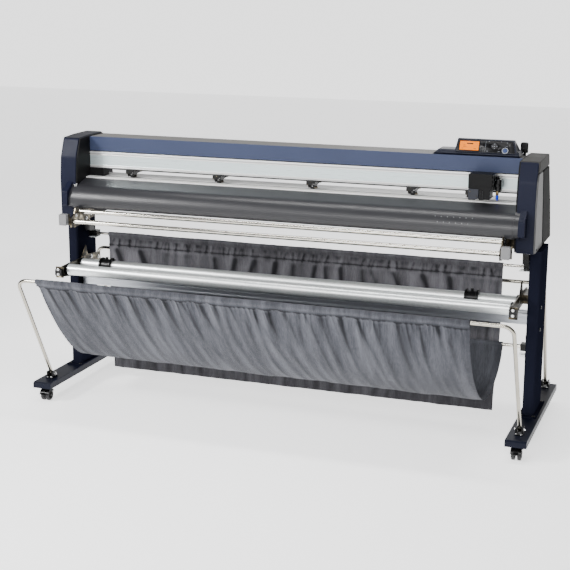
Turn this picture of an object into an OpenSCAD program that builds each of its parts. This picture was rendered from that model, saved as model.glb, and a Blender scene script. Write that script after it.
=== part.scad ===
// Wide roll-fed vinyl cutter on a wheeled stand with a media basket.
// Millimetres. +Z is up, the operator stands at -Y, the floor is z = 0 and x = 0 is the middle.

/* [Stand] */
// Width over the two feet
stand_w = 2230; // [2100:10:2400]
// Length of each foot, front to back
foot_l = 810; // [760:10:860]
// Width of each foot
foot_w = 88; // [80:2:100]
// Height of the foot's folded channel
foot_h = 28; // [24:1:34]
// Diameter of the caster wheels
wheel_d = 50; // [44:2:54]
// Width of each column across the machine
col_w = 50; // [46:2:56]
// Depth of each column, front to back
col_d = 186; // [170:2:200]
// Height of the column tops above the floor
col_top = 800; // [780:5:820]

/* [Cutter] */
// Clear width between the two side frames
bay_w = 1976; // [1900:4:2040]
// Height of the platen's surface above the floor
platen_z = 992; // [985:1:1000]
// Height of the beam's top above the floor
beam_top_z = 1170; // [1160:2:1180]
// Width of each side cover
cover_w = 78; // [70:2:84]
// Diameter of the grit drum
drum_d = 25; // [22:1:28]
// Diameter of the pinch wheels
pinch_d = 18; // [16:1:20]
// Middle of the carriage, as it is parked
carriage_x = 835; // [0:5:880]

/* [Media handling] */
// Diameter of the two tubes that carry the roll
tube_d = 50; // [44:2:54]
// Distance between the two tubes' axes
tube_gap = 128; // [120:2:140]
// Diameter of the two chrome guide bars
bar_d = 20; // [16:1:22]
// Diameter of the basket poles
pole_d = 16; // [14:1:18]
// Lean of the front pole from upright
front_lean = 27.7; // [20:0.1:32]
// Lean of the rear pole from upright
rear_lean = 21; // [14:0.1:26]

/* [Hidden] */
$fn = 48;

// Colours
navy = [0.16, 0.20, 0.33];
dark_navy = [0.10, 0.11, 0.17];
warm_gray = [0.52, 0.51, 0.50];
charcoal = [0.20, 0.20, 0.21];
black = [0.07, 0.07, 0.07];
alu = [0.80, 0.84, 0.86];
chrome = [0.85, 0.84, 0.80];
zinc = [0.72, 0.77, 0.80];
bronze = [0.38, 0.33, 0.26];
cloth_gray = [0.42, 0.43, 0.46];

// Clearances
run = 0.05;      // radial, round a turning shaft
gap = 0.4;       // between faces of parts that move

// Stand
sheet = 3;                                    // folded steel
foot_x = stand_w / 2 - foot_w / 2;
foot_z = wheel_d + 16;
foot_top = foot_z + foot_h;
col_out = stand_w / 2 - 25;                   // outer face of a column
col_in = col_out - col_w;
col_x = (col_out + col_in) / 2;
col_y = 5;
base_plate = 5;
caster_y = foot_l / 2 - 62;
trail = 18;
wheel_w = 16;
web = 8;                                      // fork web between the twin wheels
stem_r = 5.5;
axle_r = 4;
crossbar_y = -5;
crossbar_z = 500;
crossbar_h = 44;
crossbar_d = 80;
screw_r = 4;

// Cutter
frame_t = 6;
frame_in = bay_w / 2;
cover_in = frame_in + frame_t;
cover_out = cover_in + cover_w;
rail_y = -40;                                 // front face of the rail
rail_d = 70;
rail_z0 = platen_z + 37;
rail_z1 = platen_z + 110;
beam_y = rail_y + 2;
beam_back = 95;
beam_z0 = rail_z1 + 4;
drum_y = -30;
drum_z = platen_z - drum_d / 2;
drum_l = bay_w - 60;
cut_y = -64;                                  // line that the blade follows
journal_r = 5;
pinch_xs = [-779, -353, 85, 529, 780];
pinch_pivot = [22, platen_z + 25];            // y, z
pinch_r = pinch_d / 2;
chassis_z0 = 868;

// Front cover: a straight slope that runs into an arc
cover_arc_c = [-138, platen_z - 99];
cover_arc_r = 76;
cover_arc_n = 20;
cover_edge = [-84, platen_z - 5];
rear_arc_c = [106, platen_z - 99];

// Carriage
carriage_half = 52;
carriage_front = -124;
tool_x0 = carriage_half + 1;
tool_x1 = carriage_half + 28;

// Console
console_x0 = 614;
console_x1 = 972;
console_top = beam_top_z + 22;
panel_x0 = 704;
panel_x1 = 960;
panel_tilt = 26;                              // from upright
panel_foot = [-36, beam_top_z + 14];          // y, z of the panel's lower edge
panel_h = 58;
button_x = 911;
button_v = 14;                                // up the panel from its lower edge
pad_x = 866;
pad_v = 31;
lcd = [panel_x0 + 18, panel_x0 + 97, 10, 48];  // x and upward limits of the display
lever_x = 976;
lever_pivot = [80, beam_top_z - 24];
lever_grip = [32, 44, 54];                    // width, height and middle above the pivot

// Media handling
tube_z = 590;
front_tube_y = -242;
rear_tube_y = front_tube_y + tube_gap;
tube_half = 1000;
tube_journal_r = 8;
ring_xs = [-875, 816];
ring_w = 58;
upper_bar = [-227, 858];
lower_bar = [-276, 820];
bar_half = 952;
bar_journal_r = 6;
hinge_z = foot_top + 18;
front_hinge_y = -312;
rear_hinge_y = 345;
front_pole_l = 559;
rear_pole_l = 536;
pole_bend_r = 45;
pole_wall = 1.5;
pole_pin_r = 3;
hang = [45, 705];                             // y, z of the rod the back cloth hangs from
hang_r = 6;
mid = [20, 365];                              // y, z of the rod behind the basket
mid_r = 8;
cloth_x0 = -965;
cloth_x1 = 908;
cloth_t = 4;
cloth_n = 12;                                 // steps along each half of the basket's section
sleeve_r = pole_d / 2 + 3;
bar_at = [front_hinge_y - front_pole_l * sin(front_lean), hinge_z + front_pole_l * cos(front_lean)];
front_pull = [-311, 172];                     // y, z of the curve's handles and of its lowest point
sag = [-130, 172];
rear_pull = [0, 172];
shift_y = (sleeve_r - bar_at[0] - foot_l / 2) / 2;

// ---- outlines ----

// Points of an arc from angle a0 to a1 around c
function arc(c, r, a0, a1, n) = [for (i = [0:n]) let (a = a0 + (a1 - a0) * i / n) c + r * [cos(a), sin(a)]];
// Point and unit normal of a quadratic Bezier curve
function bez(p, c, q, t) = (1 - t) * (1 - t) * p + 2 * t * (1 - t) * c + t * t * q;
function bez_dir(p, c, q, t) = 2 * (1 - t) * (c - p) + 2 * t * (q - c);
function left_of(d) = [-d[1], d[0]] / norm(d);

module rounded(w, d, r) {
    square([w - 2 * r, d], center = true);
    square([w, d - 2 * r], center = true);
    for (sx = [-1, 1])
        for (sy = [-1, 1])
            translate([sx * (w / 2 - r), sy * (d / 2 - r)]) circle(r = r);
}

// ---- placing helpers ----

module box(x0, x1, y0, y1, z0, z1) translate([x0, y0, z0]) cube([x1 - x0, y1 - y0, z1 - z0]);

// Extrudes a (y, z) outline along X from x0 to x1
module slab(x0, x1) translate([x0, 0, 0]) rotate([90, 0, 90]) linear_extrude(x1 - x0) children();

// Cylinder along X from x0 to x1 round the (y, z) point p
module rod(x0, x1, p, r) translate([x0, p[0], p[1]]) rotate([0, 90, 0]) cylinder(h = x1 - x0, r = r);

// Upright cylinder
module post(x, y, z0, z1, r) translate([x, y, z0]) cylinder(h = z1 - z0, r = r);

// Moves the part so that y = 0 is the middle of its whole depth
module centred() translate([0, shift_y, 0]) children();

module both_sides() {
    children();
    mirror([1, 0, 0]) children();
}

// ---- stand ----

module foot_outline() {
    b = 7;
    polygon([[-foot_l / 2, 0], [foot_l / 2, 0], [foot_l / 2, foot_h - b], [foot_l / 2 - b, foot_h],
             [b - foot_l / 2, foot_h], [-foot_l / 2, foot_h - b]]);
}

module foot(side) color(navy) centred() translate([side * foot_x, 0, foot_z]) difference() {
    union() {
        difference() {
            slab(-foot_w / 2, foot_w / 2) foot_outline();
            box(sheet - foot_w / 2, foot_w / 2 - sheet, sheet - foot_l / 2, foot_l / 2 - sheet, -1, foot_h - 2 * sheet);
        }
        for (end = [-1, 1])
            post(0, end * caster_y, 0, foot_h - sheet, 13);
    }
    for (end = [-1, 1])
        post(0, end * caster_y, -1, foot_h - sheet - 1, stem_r + run);
}

module column(side) color(navy) centred() difference() {
    translate([side * col_x, col_y, 0]) {
        translate([0, 0, foot_top + base_plate]) linear_extrude(col_top - sheet - foot_top - base_plate)
            difference() {
                rounded(col_w, col_d, 12);
                rounded(col_w - 2 * sheet, col_d - 2 * sheet, 9);
            }
        translate([0, 0, col_top - sheet]) linear_extrude(sheet) rounded(col_w, col_d, 12);
        translate([0, 0, foot_top]) linear_extrude(base_plate) rounded(76, 240, 6);
    }
    for (p = side_screws())
        mirror([side < 0 ? 1 : 0, 0, 0]) rod(col_out - 8, col_out + 1, p, screw_r);
    for (p = base_screws())
        post(side * (col_x + p[0]), p[1], foot_top - 1, foot_top + base_plate + 1, screw_r);
}

// (y, z) of the screws in a column's outer face, and (x, y) of those in its base plate
function side_screws() = [[55, 558], [55, 463], [-45, 558], [-45, 463]];
function base_screws() = [[-26, 112], [26, 112], [-26, -102], [26, -102]];

module screw_head(r, h, shank, l) {
    cylinder(h = h, r = r);
    translate([0, 0, -l]) cylinder(h = l, r = shank);
}

module screws() color(black) centred() both_sides() {
    for (p = side_screws())
        translate([col_out, p[0], p[1]]) rotate([0, 90, 0]) screw_head(7, 4, screw_r - run, 6);
    for (p = base_screws())
        translate([col_x + p[0], p[1], foot_top + base_plate]) screw_head(7, 4, screw_r - run, base_plate);
    for (p = cover_screws())
        translate([cover_out, p[0], p[1]]) rotate([0, 90, 0]) screw_head(5, 2.5, 2, 3);
}

module crossbar() color(alu) centred() difference() {
    box(-col_in, col_in, crossbar_y - crossbar_d / 2, crossbar_y + crossbar_d / 2,
        crossbar_z - crossbar_h / 2, crossbar_z + crossbar_h / 2);
    box(-col_in - 1, col_in + 1, crossbar_y - crossbar_d / 2 + sheet, crossbar_y + crossbar_d / 2 - sheet,
        crossbar_z - crossbar_h / 2 + 2 * sheet, crossbar_z + crossbar_h / 2 - 2 * sheet);
    for (z = [crossbar_z - 10, crossbar_z + 10])
        box(-col_in - 1, col_in + 1, crossbar_y - crossbar_d / 2 - 1, crossbar_y - crossbar_d / 2 + 1.5, z - 4, z + 4);
    for (y = [crossbar_y - 20, crossbar_y + 20])
        box(-col_in - 1, col_in + 1, y - 4, y + 4, crossbar_z + crossbar_h / 2 - 3, crossbar_z + crossbar_h / 2 + 1);
}

// ---- casters: the fork hangs under a foot, the wheels trail outwards ----

module at_caster(sx, sy) translate([sx * foot_x, sy * caster_y, 0]) mirror([0, sy > 0 ? 1 : 0, 0]) children();

module caster_fork(sx, sy) color(black) centred() at_caster(sx, sy) {
    post(0, 0, foot_z - 8, foot_z - gap, 20);
    post(0, 0, foot_z - gap, foot_z + foot_h - sheet - 4, stem_r);
    difference() {
        union() {
            rod(-web / 2, web / 2, [-trail, wheel_d / 2], 16);
            box(-web / 2, web / 2, -trail - 16, 12, wheel_d / 2, foot_z - 8);
            difference() {
                rod(-web / 2 - wheel_w - 3, web / 2 + wheel_w + 3, [-trail, wheel_d / 2], wheel_d / 2 + 5);
                rod(-web / 2 - wheel_w - 9, web / 2 + wheel_w + 9, [-trail, wheel_d / 2], wheel_d / 2 + 1.5);
                box(-60, 60, -90, 60, -20, wheel_d / 2 + 6);
            }
            box(-14, 14, -trail - 6, 10, wheel_d + 2, foot_z - 8);
        }
        rod(-web, web, [-trail, wheel_d / 2], axle_r + run);
    }
}

module caster_wheels(sx, sy) color(black) centred() at_caster(sx, sy) {
    rod(-web / 2 - wheel_w - 1, web / 2 + wheel_w + 1, [-trail, wheel_d / 2], axle_r);
    both_sides() {
        rod(web / 2 + 1, web / 2 + 3, [-trail, wheel_d / 2], wheel_d / 2 - 2);
        rod(web / 2 + 3, web / 2 + wheel_w - 2, [-trail, wheel_d / 2], wheel_d / 2);
        rod(web / 2 + wheel_w - 2, web / 2 + wheel_w, [-trail, wheel_d / 2], wheel_d / 2 - 2);
    }
}

// ---- cutter body ----

// Side view of a side cover, shrunk by t on every edge
module side_outline(t) {
    cheek_z = platen_z - 36;
    polygon(concat(
        [[248 - t, col_top + t], [-158 + t, col_top + t], [-168 + t, col_top + 14 + t], [-170 + t, 1000],
         [-160 + t, 1090], [-128 + t * 0.9, beam_top_z + 2 - t]],
        [[-30, beam_top_z + 7 - t], [94 - t, beam_top_z + 8 - t], [104 - t, beam_top_z - 6], [196 - t, 960]]));
}

// Bulge of a side cover that caps the end of the front cover
module cheek_outline() intersection() {
    polygon(concat([[-120, cover_arc_c[1] + 60]], arc(cover_arc_c, cover_arc_r - 3, 105, 200, cover_arc_n),
                   [[-120, cover_arc_c[1] - 26]]));
    translate([-300, chassis_z0 - 8]) square([300, 86]);
}

function cover_screws() = [[16, col_top + 14], [-120, col_top + 14]];

module side_cover(side) color(side > 0 ? warm_gray : navy) centred() mirror([side < 0 ? 1 : 0, 0, 0]) difference() {
    union() {
        slab(cover_in, cover_out) side_outline(0);
        slab(cover_in, cover_in + 34) cheek_outline();
    }
    slab(cover_in - 1, cover_out - sheet) side_outline(sheet);
    box(cover_in - 1, cover_out - sheet, -150, 230, col_top - 1, col_top + 10);
    for (p = cover_screws())
        rod(cover_out - 5, cover_out + 1, p, 2.1);
    // long vent groove in the outer face
    box(cover_out - 1, cover_out + 1, -96, -92, col_top + 60, beam_top_z - 50);
    if (side < 0)
        box(cover_in + 22, cover_in + 52, 200, 260, col_top + 22, col_top + 44);
}

// The steel frames close the inner side of the covers and stand on the columns
module side_frames() color(dark_navy) centred() {
    both_sides() {
        difference() {
            slab(frame_in, cover_in) side_outline(4);
            rod(frame_in - 1, cover_in + 1, [drum_y, drum_z], journal_r + run);
            rod(frame_in - 1, cover_in + 1, lever_pivot, 5 + run);
        }
        box(cover_in, cover_out - 8, -80, 90, col_top, col_top + 6);
    }
    box(-frame_in, -frame_in + 70, rail_y - 6, rail_y + 50, platen_z, rail_z0 - 1);
}

module chassis() color(charcoal) centred() difference() {
    box(-frame_in, frame_in, cover_edge[0] + 4, 76, chassis_z0, platen_z - 6);
    box(-frame_in - 1, frame_in + 1, cover_edge[0] + 4 + sheet, 76 - sheet, chassis_z0 + sheet, platen_z);
}

module platen() color(alu) centred() difference() {
    box(-frame_in, frame_in, cover_edge[0] + 1, 80, platen_z - 6, platen_z);
    box(-drum_l / 2 - 12, drum_l / 2 + 12, drum_y - drum_d / 2 - 2, drum_y + drum_d / 2 + 2, platen_z - 9, platen_z + 1);
    box(-drum_l / 2, drum_l / 2, cut_y - 5, cut_y + 5, platen_z - 2, platen_z + 1);
}

module cutting_strip() color("tan") centred()
    box(1 - drum_l / 2, drum_l / 2 - 1, cut_y - 4.5, cut_y + 4.5, platen_z - 2, platen_z - 0.5);

// Thin curved shell: a slope from the platen's edge into an arc
module curved_shell(edge, c, r, a0, a1, t) polygon(concat(
    [edge], arc(c, r, a0, a1, cover_arc_n), arc(c, r - t, a1, a0, cover_arc_n), [edge - [0, t]]));

module front_cover() color(charcoal) centred() slab(-frame_in, frame_in) {
    curved_shell(cover_edge, cover_arc_c, cover_arc_r, 105, 198, sheet);
    polygon([[-214 + 6, 869], [-176, 863], [-176, 866], [-214 + 7, 872]]);
}

module rear_cover() color(charcoal) centred() slab(-frame_in, frame_in)
    curved_shell([82, platen_z - 2], rear_arc_c, cover_arc_r, 75, -12, sheet);

module beam_cover() color(navy) centred() {
    box(-frame_in, frame_in, beam_y, beam_y + sheet, beam_z0, beam_top_z - sheet);
    box(-frame_in, frame_in, beam_y, beam_y + 14, beam_top_z - sheet, beam_top_z);
}

module beam_top() color(warm_gray) centred() difference() {
    union() {
        box(-frame_in, frame_in, beam_y + 14 + gap, beam_back, beam_top_z - sheet, beam_top_z);
        box(-frame_in, frame_in, beam_back - sheet, beam_back, rail_z0 + 10, beam_top_z - 1);
    }
    box(lever_x - 12, lever_x + 8, lever_pivot[0] - 26, beam_back + 5, lever_pivot[1] - 34, beam_top_z + 5);
}

module y_rail() color(alu) centred() difference() {
    box(-frame_in, frame_in, rail_y, rail_y + rail_d, rail_z0, rail_z1);
    box(-frame_in - 1, frame_in + 1, rail_y - 1, rail_y + 3, rail_z0 + 13, rail_z1 - 18);
    box(-frame_in - 1, frame_in + 1, rail_y - 1, rail_y + 2, rail_z1 - 12, rail_z1 - 8);
    box(-frame_in - 1, frame_in + 1, rail_y - 1, rail_y + 2, rail_z0 + 5, rail_z0 + 8);
    box(-frame_in - 1, frame_in + 1, rail_y + 9, rail_y + rail_d - 4, rail_z0 + 4, rail_z1 - 4);
}

// ---- console ----

// Places children on the panel: x across, y up the slope, z out of the face
module on_panel() translate([0, panel_foot[0], panel_foot[1]]) rotate([90 - panel_tilt, 0, 0]) children();

module console_housing() color(dark_navy) centred() {
    top_y = panel_foot[0] + panel_h * sin(panel_tilt);
    top_z = panel_foot[1] + panel_h * cos(panel_tilt);
    slab(console_x0, console_x1)
        polygon([[beam_y + 15, beam_top_z], [62, beam_top_z], [58, console_top], [panel_foot[0] + 12, console_top],
                 [panel_foot[0] + 2, beam_top_z + 8]]);
    difference() {
        slab(panel_x0, panel_x1)
            polygon([[panel_foot[0] + 14, console_top - 1], [58, console_top - 1], [top_y + 20, top_z + 2],
                     [top_y, top_z + 2], [panel_foot[0] + 3, panel_foot[1] + 4]]);
        on_panel() box(panel_x0 + 6, panel_x1 - 6, 2, panel_h - 2, -4, 9);
    }
}

module console_panel() color(black) centred() on_panel() difference() {
    box(panel_x0 + 6 + gap, panel_x1 - 6 - gap, 3, panel_h - 2 - gap, -4 + gap, 0);
    box(lcd[0], lcd[1], lcd[2], lcd[3], -2.5, 1);
    translate([button_x, button_v, -9]) cylinder(h = 12, r = 10 + gap);
    translate([pad_x, pad_v, -9]) cylinder(h = 12, r = 13 + gap);
}

module lcd_screen() color("orange") centred() on_panel()
    box(lcd[0] + gap, lcd[1] - gap, lcd[2] + gap, lcd[3] - gap, -2.5, -0.5);

module start_button() color("silver") centred() on_panel() translate([button_x, button_v, -2.4]) cylinder(h = 4.4, r = 10);

module arrow_pad() color(charcoal) centred() on_panel() translate([pad_x, pad_v, -2.4]) cylinder(h = 3.9, r = 13);

// ---- media lever, drum and pinch rollers ----

module media_lever() color(black) centred() translate([lever_x, lever_pivot[0], lever_pivot[1]]) {
    rod(-8, frame_in - lever_x - gap, [0, 0], 10);
    rod(frame_in - lever_x - gap, cover_in - lever_x + 6, [0, 0], 5);
    box(-8, 4, -6, 6, 6, lever_grip[2]);
    translate([-5, 6, lever_grip[2]]) rotate([90, 0, 0]) linear_extrude(12) rounded(lever_grip[0], lever_grip[1], 9);
}

module grit_drum() color(zinc) centred() {
    rod(-drum_l / 2, drum_l / 2, [drum_y, drum_z], drum_d / 2 - 0.3);
    rod(-cover_in - 6, cover_in + 6, [drum_y, drum_z], journal_r);
    for (x = pinch_xs)
        rod(x - 35, x + 35, [drum_y, drum_z], drum_d / 2);
}

// Shaft on which all the pinch arms tilt, let into the side frames
module pivot_shaft() color(zinc) centred() rod(-frame_in, frame_in, pinch_pivot, 3 - run);

module pinch_arm(x) color(black) centred() {
    y1 = pinch_pivot[0];
    z1 = pinch_pivot[1];
    difference() {
        union() {
            rod(x - 22, x + 22, pinch_pivot, 6);
            for (s = [-1, 1])
                slab(x + s * 13 - 3, x + s * 13 + 3)
                    polygon([[y1, z1 - 5], [y1, z1 + 3], [drum_y - 12, z1 + 1], [drum_y - 12, platen_z + 3],
                             [drum_y + 10, platen_z + 3]]);
            box(x - 30, x + 30, drum_y - 19, drum_y - 12, platen_z + 14, z1 + 2);
        }
        rod(x - 30, x + 30, pinch_pivot, 3);
        rod(x - 30, x + 30, [drum_y, platen_z + pinch_r], 2 + run);
    }
}

module pinch_wheel(x) color(bronze) centred() {
    rod(x - 9, x + 9, [drum_y, platen_z + pinch_r], pinch_r - 0.3);
    rod(x - 17, x + 17, [drum_y, platen_z + pinch_r], 2);
}

// ---- carriage ----

module carriage() color(black) centred() translate([carriage_x, 0, 0]) {
    step_z = platen_z + 56;
    box(-carriage_half, carriage_half, carriage_front, rail_y - 2, step_z, rail_z1 + 8);
    box(-4, carriage_half, carriage_front, cut_y + 12, platen_z + 14, step_z);
    box(carriage_half, carriage_half + 4, rail_y - 14, rail_y - 2, step_z, rail_z1 + 2);
    box(-carriage_half + 6, carriage_half - 6, rail_y - 10, rail_y + 6, rail_z1 + 0.6, rail_z1 + 3.2);
    box(-carriage_half + 2, 0, carriage_front, carriage_front + 8, platen_z + 12, step_z);
}

module tool_holder() color(black) centred() translate([carriage_x, 0, 0]) {
    x = (tool_x0 + tool_x1) / 2;
    difference() {
        union() {
            box(tool_x0, tool_x1, cut_y - 40, cut_y - 2, platen_z + 48, platen_z + 96);
            box(tool_x0, tool_x1 - 8, cut_y - 2, cut_y + 8, platen_z + 60, platen_z + 96);
        }
        post(x, cut_y - 29, platen_z + 40, platen_z + 100, 5.75);
    }
    post(x, cut_y - 9, platen_z + 96, platen_z + 106, 7);
    post(x, cut_y - 9, platen_z + 26, platen_z + 48, 6);
    post(x, cut_y - 9, platen_z + 5, platen_z + 26, 2.5);
}

// ---- media handling ----

module guide_bar_brackets() color(bronze) centred() both_sides() {
    difference() {
        slab(bar_half + 1, bar_half + 7)
            polygon([[-80, 860], [-80, 812], [-200, 796], [-262, 790], [-294, 796], [-296, 838], [-262, 852],
                     [-250, 876], [-232, 881], [-217, 868], [-200, 860]]);
        rod(bar_half, bar_half + 8, upper_bar, bar_journal_r + run);
        rod(bar_half, bar_half + 8, lower_bar, bar_journal_r + run);
    }
    box(bar_half + 7, frame_in, -150, -110, 818, 856);
    box(bar_half + 7, 1004, -299, -293, 806, 856);
}

module guide_bar_blocks() color("lightgray") centred() both_sides()
    translate([982, -299, 832]) rotate([90, 0, 0]) linear_extrude(24) rounded(36, 50, 4);

module guide_bar(p) color(chrome) centred() {
    rod(-bar_half, bar_half, p, bar_d / 2);
    rod(-bar_half - 7, bar_half + 7, p, bar_journal_r);
}

module tube_brackets() color(bronze) centred() both_sides() {
    difference() {
        slab(tube_half + 8, tube_half + 14)
            polygon([[70, 566], [70, 612], [-52, 622], [-66, 668], [-80, 650], [-104, 618], [-292, 614],
                     [-292, 566], [-230, 556]]);
        for (y = [front_tube_y, rear_tube_y])
            rod(tube_half, tube_half + 20, [y, tube_z], tube_journal_r + run);
    }
    box(tube_half + 14, col_in, -60, 60, 570, 608);
    box(tube_half + 2, tube_half + 38, -298, -292, 562, 612);
}

module stock_tube(y) color(zinc) centred() {
    difference() {
        rod(-tube_half, tube_half, [y, tube_z], tube_d / 2);
        rod(5 - tube_half, tube_half - 5, [y, tube_z], tube_d / 2 - 2);
    }
    both_sides() rod(tube_half, tube_half + 14, [y, tube_z], tube_journal_r);
}

module ring(x) color(black) centred() difference() {
    union() {
        rod(x - ring_w / 2, x + ring_w / 2, [rear_tube_y, tube_z], 31);
        for (s = [-1, 1])
            rod(x + s * (ring_w / 2 - 5) - 5, x + s * (ring_w / 2 - 5) + 5, [rear_tube_y, tube_z], 38);
    }
    rod(x - ring_w, x + ring_w, [rear_tube_y, tube_z], tube_d / 2 + run);
}

// ---- basket ----

module cloth_rods() color(chrome) centred() {
    rod(30 - col_in, col_in - 30, hang, hang_r);
    rod(24 - col_in, col_in - 24, mid, mid_r);
}

// U-shaped tube standing on its two pivots, which lie on the X axis
module u_pole(l) {
    leg = l - pole_bend_r;
    half = foot_x;
    both_sides() {
        difference() {
            translate([half, 0, -6]) cylinder(h = leg + 6, d = pole_d);
            translate([half, 0, 10]) cylinder(h = leg, d = pole_d - 2 * pole_wall);
        }
        rod(half - 12, half + 12, [0, 0], pole_pin_r);
        translate([half - pole_bend_r, 0, leg]) rotate([90, 0, 0]) rotate_extrude(angle = 90)
            translate([pole_bend_r, 0]) pole_ring();
    }
    translate([-half + pole_bend_r, 0, l]) rotate([0, 90, 0]) linear_extrude(2 * half - 2 * pole_bend_r) pole_ring();
}

module pole_ring() difference() {
    circle(d = pole_d);
    circle(d = pole_d - 2 * pole_wall);
}

module front_pole() color(chrome) centred()
    translate([0, front_hinge_y, hinge_z]) rotate([front_lean, 0, 0]) u_pole(front_pole_l);

module rear_pole() color(chrome) centred()
    translate([0, rear_hinge_y, hinge_z]) rotate([rear_lean, 0, 0]) u_pole(rear_pole_l);

module pole_clamp() difference() {
    union() {
        for (s = [-1, 1])
            box(s * 13 - 3.5, s * 13 + 3.5, -18, 18, 0, 30);
        box(-16.5, 16.5, -26, 26, 0, 4);
    }
    rod(-30, 30, [0, hinge_z - foot_top], pole_pin_r + run);
}

module rod_clamp(p, r, w) difference() {
    union() {
        box(col_in - w, col_in, p[0] - 18, p[0] + 18, p[1] - 16, p[1] + 14);
        slab(col_in - 12, col_in - 6)
            polygon([[p[0] - 18, p[1] + 14], [p[0] + 18, p[1] + 14], [p[0] - 34, p[1] + 58]]);
    }
    rod(col_in - w - 1, col_in - w + 12, p, r + run);
}

module rod_clamps() color(black) centred() both_sides() {
    for (y = [front_hinge_y, rear_hinge_y])
        translate([foot_x, y, foot_top]) pole_clamp();
    rod_clamp(hang, hang_r, 40);
    rod_clamp(mid, mid_r, 34);
}

module back_cloth() color(charcoal) centred() slab(-948, 912) difference() {
    union() {
        translate(hang) circle(r = hang_r + 3);
        translate([hang[0] - 1.5, 56]) square([3, hang[1] - 56]);
    }
    translate(hang) circle(r = hang_r + 0.2);
}

// Section of the basket from the front pole's bar, round the bottom, up to the mid rod
function basket_line(side) = concat(
    [for (i = [0:cloth_n]) let (t = i / cloth_n, a = bar_at - [0, sleeve_r - 2])
        bez(a, front_pull, sag, t) + side * cloth_t / 2 * left_of(bez_dir(a, front_pull, sag, t))],
    [for (i = [1:cloth_n]) let (t = i / cloth_n, b = mid - [0, sleeve_r - 2])
        bez(sag, rear_pull, b, t) + side * cloth_t / 2 * left_of(bez_dir(sag, rear_pull, b, t))]);

module basket_cloth() color(cloth_gray) centred() slab(cloth_x0, cloth_x1) difference() {
    union() {
        polygon(concat(basket_line(-1), [for (i = [2 * cloth_n:-1:0]) basket_line(1)[i]]));
        translate(bar_at) circle(r = sleeve_r);
        translate(mid) circle(r = sleeve_r);
    }
    translate(bar_at) circle(r = pole_d / 2 + 0.3);
    translate(mid) circle(r = mid_r + 0.3);
}

// ---- what each node draws ----

foot(-1);  // foot_left
foot(1);  // foot_right
column(-1);  // column_left
column(1);  // column_right
crossbar();
screws();
side_cover(-1);  // side_cover_left
side_cover(1);  // side_cover_right
side_frames();
chassis();
platen();
cutting_strip();
front_cover();
rear_cover();
beam_cover();
beam_top();
y_rail();
console_housing();
console_panel();
lcd_screen();
start_button();
arrow_pad();
guide_bar_brackets();
guide_bar_blocks();
guide_bar(upper_bar);  // upper_guide_bar
guide_bar(lower_bar);  // lower_guide_bar
tube_brackets();
stock_tube(front_tube_y);  // front_tube
stock_tube(rear_tube_y);  // rear_tube
ring(ring_xs[0]);  // ring_left
ring(ring_xs[1]);  // ring_right
cloth_rods();
rod_clamps();
front_pole();
rear_pole();
back_cloth();
basket_cloth();
caster_fork(-1, -1);  // caster_fork_front_left
caster_fork(1, -1);  // caster_fork_front_right
caster_fork(-1, 1);  // caster_fork_rear_left
caster_fork(1, 1);  // caster_fork_rear_right
caster_wheels(-1, -1);  // caster_wheels_front_left
caster_wheels(1, -1);  // caster_wheels_front_right
caster_wheels(-1, 1);  // caster_wheels_rear_left
caster_wheels(1, 1);  // caster_wheels_rear_right
media_lever();
grit_drum();
pivot_shaft();
carriage();
tool_holder();
pinch_arm(pinch_xs[0]);  // pinch_arm_1
pinch_arm(pinch_xs[1]);  // pinch_arm_2
pinch_arm(pinch_xs[2]);  // pinch_arm_3
pinch_arm(pinch_xs[3]);  // pinch_arm_4
pinch_arm(pinch_xs[4]);  // pinch_arm_5
pinch_wheel(pinch_xs[0]);  // pinch_wheel_1
pinch_wheel(pinch_xs[1]);  // pinch_wheel_2
pinch_wheel(pinch_xs[2]);  // pinch_wheel_3
pinch_wheel(pinch_xs[3]);  // pinch_wheel_4
pinch_wheel(pinch_xs[4]);  // pinch_wheel_5
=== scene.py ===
import math

import bmesh
import bpy
import numpy as np
from mathutils import Matrix, Vector, noise


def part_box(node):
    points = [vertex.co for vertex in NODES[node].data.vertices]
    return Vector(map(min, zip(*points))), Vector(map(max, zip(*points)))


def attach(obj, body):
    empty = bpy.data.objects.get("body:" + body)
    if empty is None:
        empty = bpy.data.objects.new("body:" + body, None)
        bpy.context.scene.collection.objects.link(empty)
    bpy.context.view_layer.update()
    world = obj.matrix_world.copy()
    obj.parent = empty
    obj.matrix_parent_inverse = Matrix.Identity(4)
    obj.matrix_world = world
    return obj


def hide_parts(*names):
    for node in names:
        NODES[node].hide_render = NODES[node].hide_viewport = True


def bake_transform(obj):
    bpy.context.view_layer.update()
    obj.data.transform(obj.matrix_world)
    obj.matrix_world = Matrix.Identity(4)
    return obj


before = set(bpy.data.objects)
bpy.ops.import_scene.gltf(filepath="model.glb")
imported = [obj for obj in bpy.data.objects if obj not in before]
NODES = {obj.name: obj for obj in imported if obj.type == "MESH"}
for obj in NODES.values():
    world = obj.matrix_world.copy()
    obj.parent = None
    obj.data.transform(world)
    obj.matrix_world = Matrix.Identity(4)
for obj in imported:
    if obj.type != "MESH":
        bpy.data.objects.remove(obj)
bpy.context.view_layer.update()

TAU = 2 * math.pi

# The machine is drawn with y = 0 at the middle of its feet, and moved by Y0 into the frame.
foot_low, foot_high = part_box("foot_left")
Y0 = (foot_low.y + foot_high.y) / 2
MACHINE = "machine"


# --- materials

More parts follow.
